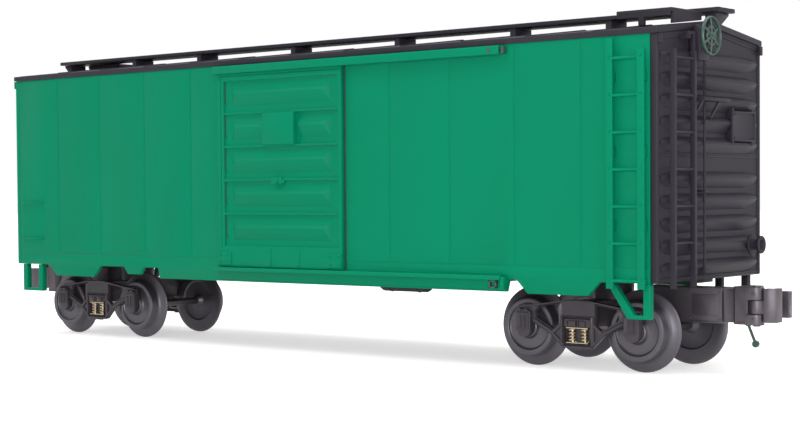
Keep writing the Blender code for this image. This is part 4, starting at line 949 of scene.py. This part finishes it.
def makeBrakeGear():
    y, boss, aside = brakeTable["wheel"][1], brakeTable["boss"], brakeTable["boltAside"]
    housing = soften(mergedCopy("brake_housing"), 0.85, 4)
    parts = [housing, addRod("housingBoss", (135.2, y, boss), (136.1, y, boss), 1.9, 32, 0.3)]
    for z in brakeTable["housingBolts"]:
        for across in (y - aside, y + aside):
            parts.append(addRod("housingBolt", (135.3, across, z), (136.05, across, z), 0.34, 8,
                                0.08))
    finishPiece(joined("brake_housingCast", parts), "car", black, ["brake_housing"])
    x, y, top = brakeTable["rodX"], brakeTable["rodY"], brakeTable["rodTop"]
    links = []
    for i in range(brakeTable["links"]):  # every second link is turned a quarter
        z = brakeTable["chainTop"] - i * brakeTable["linkPitch"]
        links.append(addRing("chainLink", (x, y, z), 0.42, 0.15, "Y" if i % 2 else "X", 12, 6))
    links.append(addRod("brakeRod", (x, y, top), (x, y, brakeTable["rodFoot"]), 0.33, 14))
    links.append(addRing("rodEye", (x, y, top), 0.5, 0.18, "X", 16, 8))
    for z in brakeTable["guides"]:
        links.append(addBlock("rodGuide", (132.0, y - 0.9, z - 0.35),
                              (134.6, y + 0.9, z + 0.35), 0.14))
    finishPiece(joined("brake_rodLinked", links), "car", black, ["brake_rod"])


pocketTable = {"back": 133.5, "y": 22.85, "z": 35.1, "profile": (
    (0, 0), (3.15, 0), (3.2, 0.15), (3.2, 0.5), (3.05, 0.65), (1.75, 0.7), (1.6, 0.85), (1.6, 2.2),
    (2.45, 2.5), (2.6, 2.7), (2.6, 3.2), (2.45, 3.38), (1.8, 3.4), (1.55, 3.2), (1.2, 2.5),
    (0, 2.4))}


def makePolePocket():  # a flange, a neck and a cup, turned in one profile
    back, y, z = pocketTable["back"], pocketTable["y"], pocketTable["z"]
    name = "pole_pocket_frontTurned"
    parts = [spinShape(name, pocketTable["profile"], "X", (back, y, z), 40),
             addRod("pocketRoot", (back - 1.6, y, z), (back + 0.1, y, z), 1.4, 20)]
    finishTwins(joined(name, parts), "pole_pocket_rearTurned", black,
                nodes=("pole_pocket_front", "pole_pocket_rear"))


cardTable = {"rim": ((0.55, 0), (0.12, -0.35)), "posts": (10.6, 22.9), "postDepth": (131.9, 133.9),
             "postSpan": (63.9, 74.4), "bolts": (66.0, 72.6), "boltFace": 134.2}


def makeCardBoard():
    board = mergedCopy("card_board_front")
    stepFaces(board, lambda item: item.normal.x > 0.9, *cardTable["rim"])
    parts = [soften(board, 0.1)]
    (back, front), (low, high) = cardTable["postDepth"], cardTable["postSpan"]
    face = cardTable["boltFace"]
    for y in cardTable["posts"]:
        parts.append(addBlock("boardPost", (back, y - 0.5, low), (front, y + 0.5, high), 0.12))
        for z in cardTable["bolts"]:
            parts.append(addRod("boardBolt", (face, y, z), (face + 0.35, y, z), 0.3, 8, 0.08))
    finishTwins(joined("card_board_frontPlanked", parts), "card_board_rearPlanked", black,
                nodes=("card_board_front", "card_board_rear"))


tankTable = {"reservoir": (28.35, -17.7, 23.2), "bands": (4.25, 14.85),
             "cylinder": (-23.25, 12.5, 22.9), "length": 21.25}


def makeTanks():
    shell = [(0, 0), (1.6, 0.12), (2.35, 0.55), (2.75, 1.3), (2.8, 1.7), (2.8, 17.3), (2.75, 17.75),
             (2.35, 18.5), (1.6, 18.93), (0, 19.05)]
    x, y, z = tankTable["reservoir"]
    parts = [spinShape("air_reservoirTurned", shell, "X", (x, y, z), 40)]
    for shift in tankTable["bands"]:
        parts.append(addRing("tankBand", (x + shift, y, z), 2.8, 0.18, "X", 40, 6))
    finishPiece(joined("air_reservoirBanded", parts), "car", black, ["air_reservoir"])
    barrel = [(0, 0), (1.2, 0), (1.2, 9.3), (2.9, 9.45), (3.1, 9.7), (3.1, 10.5), (2.75, 10.7),
              (2.75, 20.3), (3.1, 20.5), (3.1, 21.05), (2.9, 21.25), (0, 21.25)]
    barrel = [(radius, tankTable["length"] - height) for radius, height in barrel[::-1]]
    cylinder = spinShape("brake_cylinderTurned", barrel, "X", tankTable["cylinder"], 40)
    finishPiece(cylinder, "car", black, ["brake_cylinder"])


couplerTable = {"boxStart": 127.5, "boxEnd": 137.8, "boxHalf": 4.5, "low": 14.0, "high": 23.8,
                "guardFace": 152.7, "pin": (148.0, -4.0), "lugLow": 14.0, "lugHigh": 24.4}


def makeCoupler():  # draft box with its panels, neck, head and guard arm with a hollow end
    coupler = mergedCopy("coupler_front")
    tip = couplerTable["guardFace"] * mm
    stepFaces(coupler, lambda face: face.normal.x > 0.9 and face.calc_center_median().x > tip,
              (0.45, 0), (0.15, -0.5))
    parts = [soften(coupler, 0.2, 3)]
    start, end = couplerTable["boxStart"], couplerTable["boxEnd"]
    half, low, high = couplerTable["boxHalf"], couplerTable["low"], couplerTable["high"]
    for sign in (-1, 1):
        parts.append(addBlock("draftPanel", (start + 1.2, sign * (half - 0.2), low + 2.0),
                              (end - 1.0, sign * (half + 0.16), high - 1.7), 0.14))
        for x in (start + 0.6, end - 0.5):
            for z in (low + 1.2, high - 0.9):
                parts.append(addRod("draftRivet", (x, sign * half, z),
                                    (x, sign * (half + 0.3), z), 0.32, 10, 0.1))
        parts.append(addBlock("draftLip", (start + 0.1, sign * (half - 0.3), low),
                              (end - 0.1, sign * (half + 0.2), low + 0.6), 0.12))
        parts.append(addBlock("headLip", (142.6, sign * 4.7, low + 0.02),
                              (145.6, sign * 5.12, low + 0.75), 0.12))
    (x, y), foot, top = couplerTable["pin"], couplerTable["lugLow"], couplerTable["lugHigh"]
    for start, end in ((top - 0.2, top + 0.45), (foot - 0.4, foot + 0.2)):
        parts.append(addRod("pinHead", (x, y, start), (x, y, end), 1.05, 24, 0.22))
    for z in (foot + 1.5, top - 1.7):
        parts.append(addRod("lugRivet", (x, y - 1.9, z), (x, y - 2.35, z), 0.5, 12, 0.14))
    finishTwins(joined("coupler_frontCast", parts), "coupler_rearCast", couplerMetal,
                ("truck_front", "truck_rear"), ("coupler_front", "coupler_rear"))


def makeKnuckle():
    knuckle = soften(mergedCopy("knuckle_front"), 0.22, 3)
    knuckles = ("knuckle_front", "knuckle_rear")
    finishTwins(knuckle, "knuckle_rearCast", couplerMetal, knuckles, knuckles)


def shadeFarStirrups():  # painted shade: the far stirrups are green, and their inner faces, which lie in shadow, are painted black
    far = ("stirrup_front_far", "stirrup_rear_far")
    for piece in bpy.data.objects:
        if piece.name.startswith(far) and "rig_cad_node" not in piece:
            paintFaces(piece, black, lambda face: face.normal.y < 0.5)


makeCoupler()
makeKnuckle()
shadeFarStirrups()
makeBrakeWheel()
makeBrakeGear()
makePolePocket()
makeCardBoard()
makeTanks()
print("end fittings and brake gear done")


# floor, lights and camera

stageLook = {"floorSize": 6000, "floorColor": "E0DFDD", "floorGlow": 0.54, "horizon": 0.22,
             "zenith": 1.15, "aim": (0, 0, 55)}
lampTable = {
    # name: place, size, power in watts
    "keyLamp": ((-420, -640, 1120), 420, 5.0),
    "endLamp": ((1150, -150, 520), 600, 3.0),
    "topLamp": ((100, 100, 1200), 900, 5.0),
    "lowLamp": ((430, -640, 80), 300, 3.4),
}
cameraTable = {"place": (351.5, -429.42, 51.72), "yaw": 40.238, "pitch": -1.827, "roll": -0.510,
               "lens": 75.02, "sensor": 36, "shift": (0.0995, 0.0407)}


def addToScene(name, data):
    holder = bpy.data.objects.new(name, data)
    bpy.context.scene.collection.objects.link(holder)
    return holder


def seenRays(tree):  # 1 for what the camera sees, straight or in a reflection or through glass
    rays = addNode(tree, "ShaderNodeLightPath").outputs
    seen = rays["Is Camera Ray"]
    for kind in ("Is Glossy Ray", "Is Transmission Ray"):
        seen = addNode(tree, "ShaderNodeMath", {"operation": "MAXIMUM"},
                       {0: seen, 1: rays[kind]}).outputs[0]
    return seen


def makeStage():
    deselect()
    bpy.ops.mesh.primitive_plane_add(size=stageLook["floorSize"] * mm)
    floor = settle(bpy.context.object)
    floor.name = "studioFloor"
    made, tree, shader = newMaterial("paleFloor")
    shader.inputs["Base Color"].default_value = linear(stageLook["floorColor"])
    shader.inputs["Roughness"].default_value = 0.9
    shader.inputs["Emission Color"].default_value = (1, 1, 1, 1)
    seen = addNode(tree, "ShaderNodeMath", {"operation": "MULTIPLY", 1: stageLook["floorGlow"]},
                   {0: seenRays(tree)})
    tree.links.new(seen.outputs[0], shader.inputs["Emission Strength"])
    floor.data.materials.append(made)

    world = bpy.data.worlds.new("studioWorld")
    bpy.context.scene.world = world
    world.use_nodes = True
    tree = world.node_tree
    backdrop = tree.nodes["Background"]
    backdrop.inputs["Color"].default_value = (1, 1, 1, 1)
    # white where the camera looks past the model, and a soft sky that lights it from above
    way = addNode(tree, "ShaderNodeTexCoord").outputs["Generated"]
    height = addNode(tree, "ShaderNodeSeparateXYZ", links={"Vector": way})
    level = addNode(tree, "ShaderNodeMapRange", {"To Min": stageLook["horizon"],
                                                 "To Max": stageLook["zenith"]},
                    {"Value": height.outputs["Z"]})
    level = addNode(tree, "ShaderNodeMath", {"operation": "MAXIMUM"},
                    {0: seenRays(tree), 1: level.outputs[0]})
    tree.links.new(level.outputs[0], backdrop.inputs["Strength"])

    for name, (place, size, power) in lampTable.items():
        lamp = bpy.data.lights.new(name, "AREA")
        lamp.size = size * mm
        lamp.energy = power
        holder = addToScene(name, lamp)
        holder.location = Vector(place) * mm
        aim = Vector(stageLook["aim"]) - Vector(place)
        holder.rotation_euler = aim.to_track_quat("-Z", "Y").to_euler()


def makeCamera():
    lens = bpy.data.cameras.new("photoCamera")
    lens.lens = cameraTable["lens"]
    lens.sensor_width = cameraTable["sensor"]
    lens.shift_x, lens.shift_y = cameraTable["shift"]
    lens.clip_start = 0.01
    holder = addToScene("photoCamera", lens)
    holder.matrix_world = (Matrix.Translation(Vector(cameraTable["place"]) * mm)
                           @ Matrix.Rotation(radians(cameraTable["yaw"]), 4, "Z")
                           @ Matrix.Rotation(radians(90 + cameraTable["pitch"]), 4, "X")
                           @ Matrix.Rotation(radians(cameraTable["roll"]), 4, "Z"))
    bpy.context.scene.camera = holder


makeStage()
makeCamera()
bpy.context.scene.view_settings.view_transform = "Standard"
print("stage, lamps and camera placed")
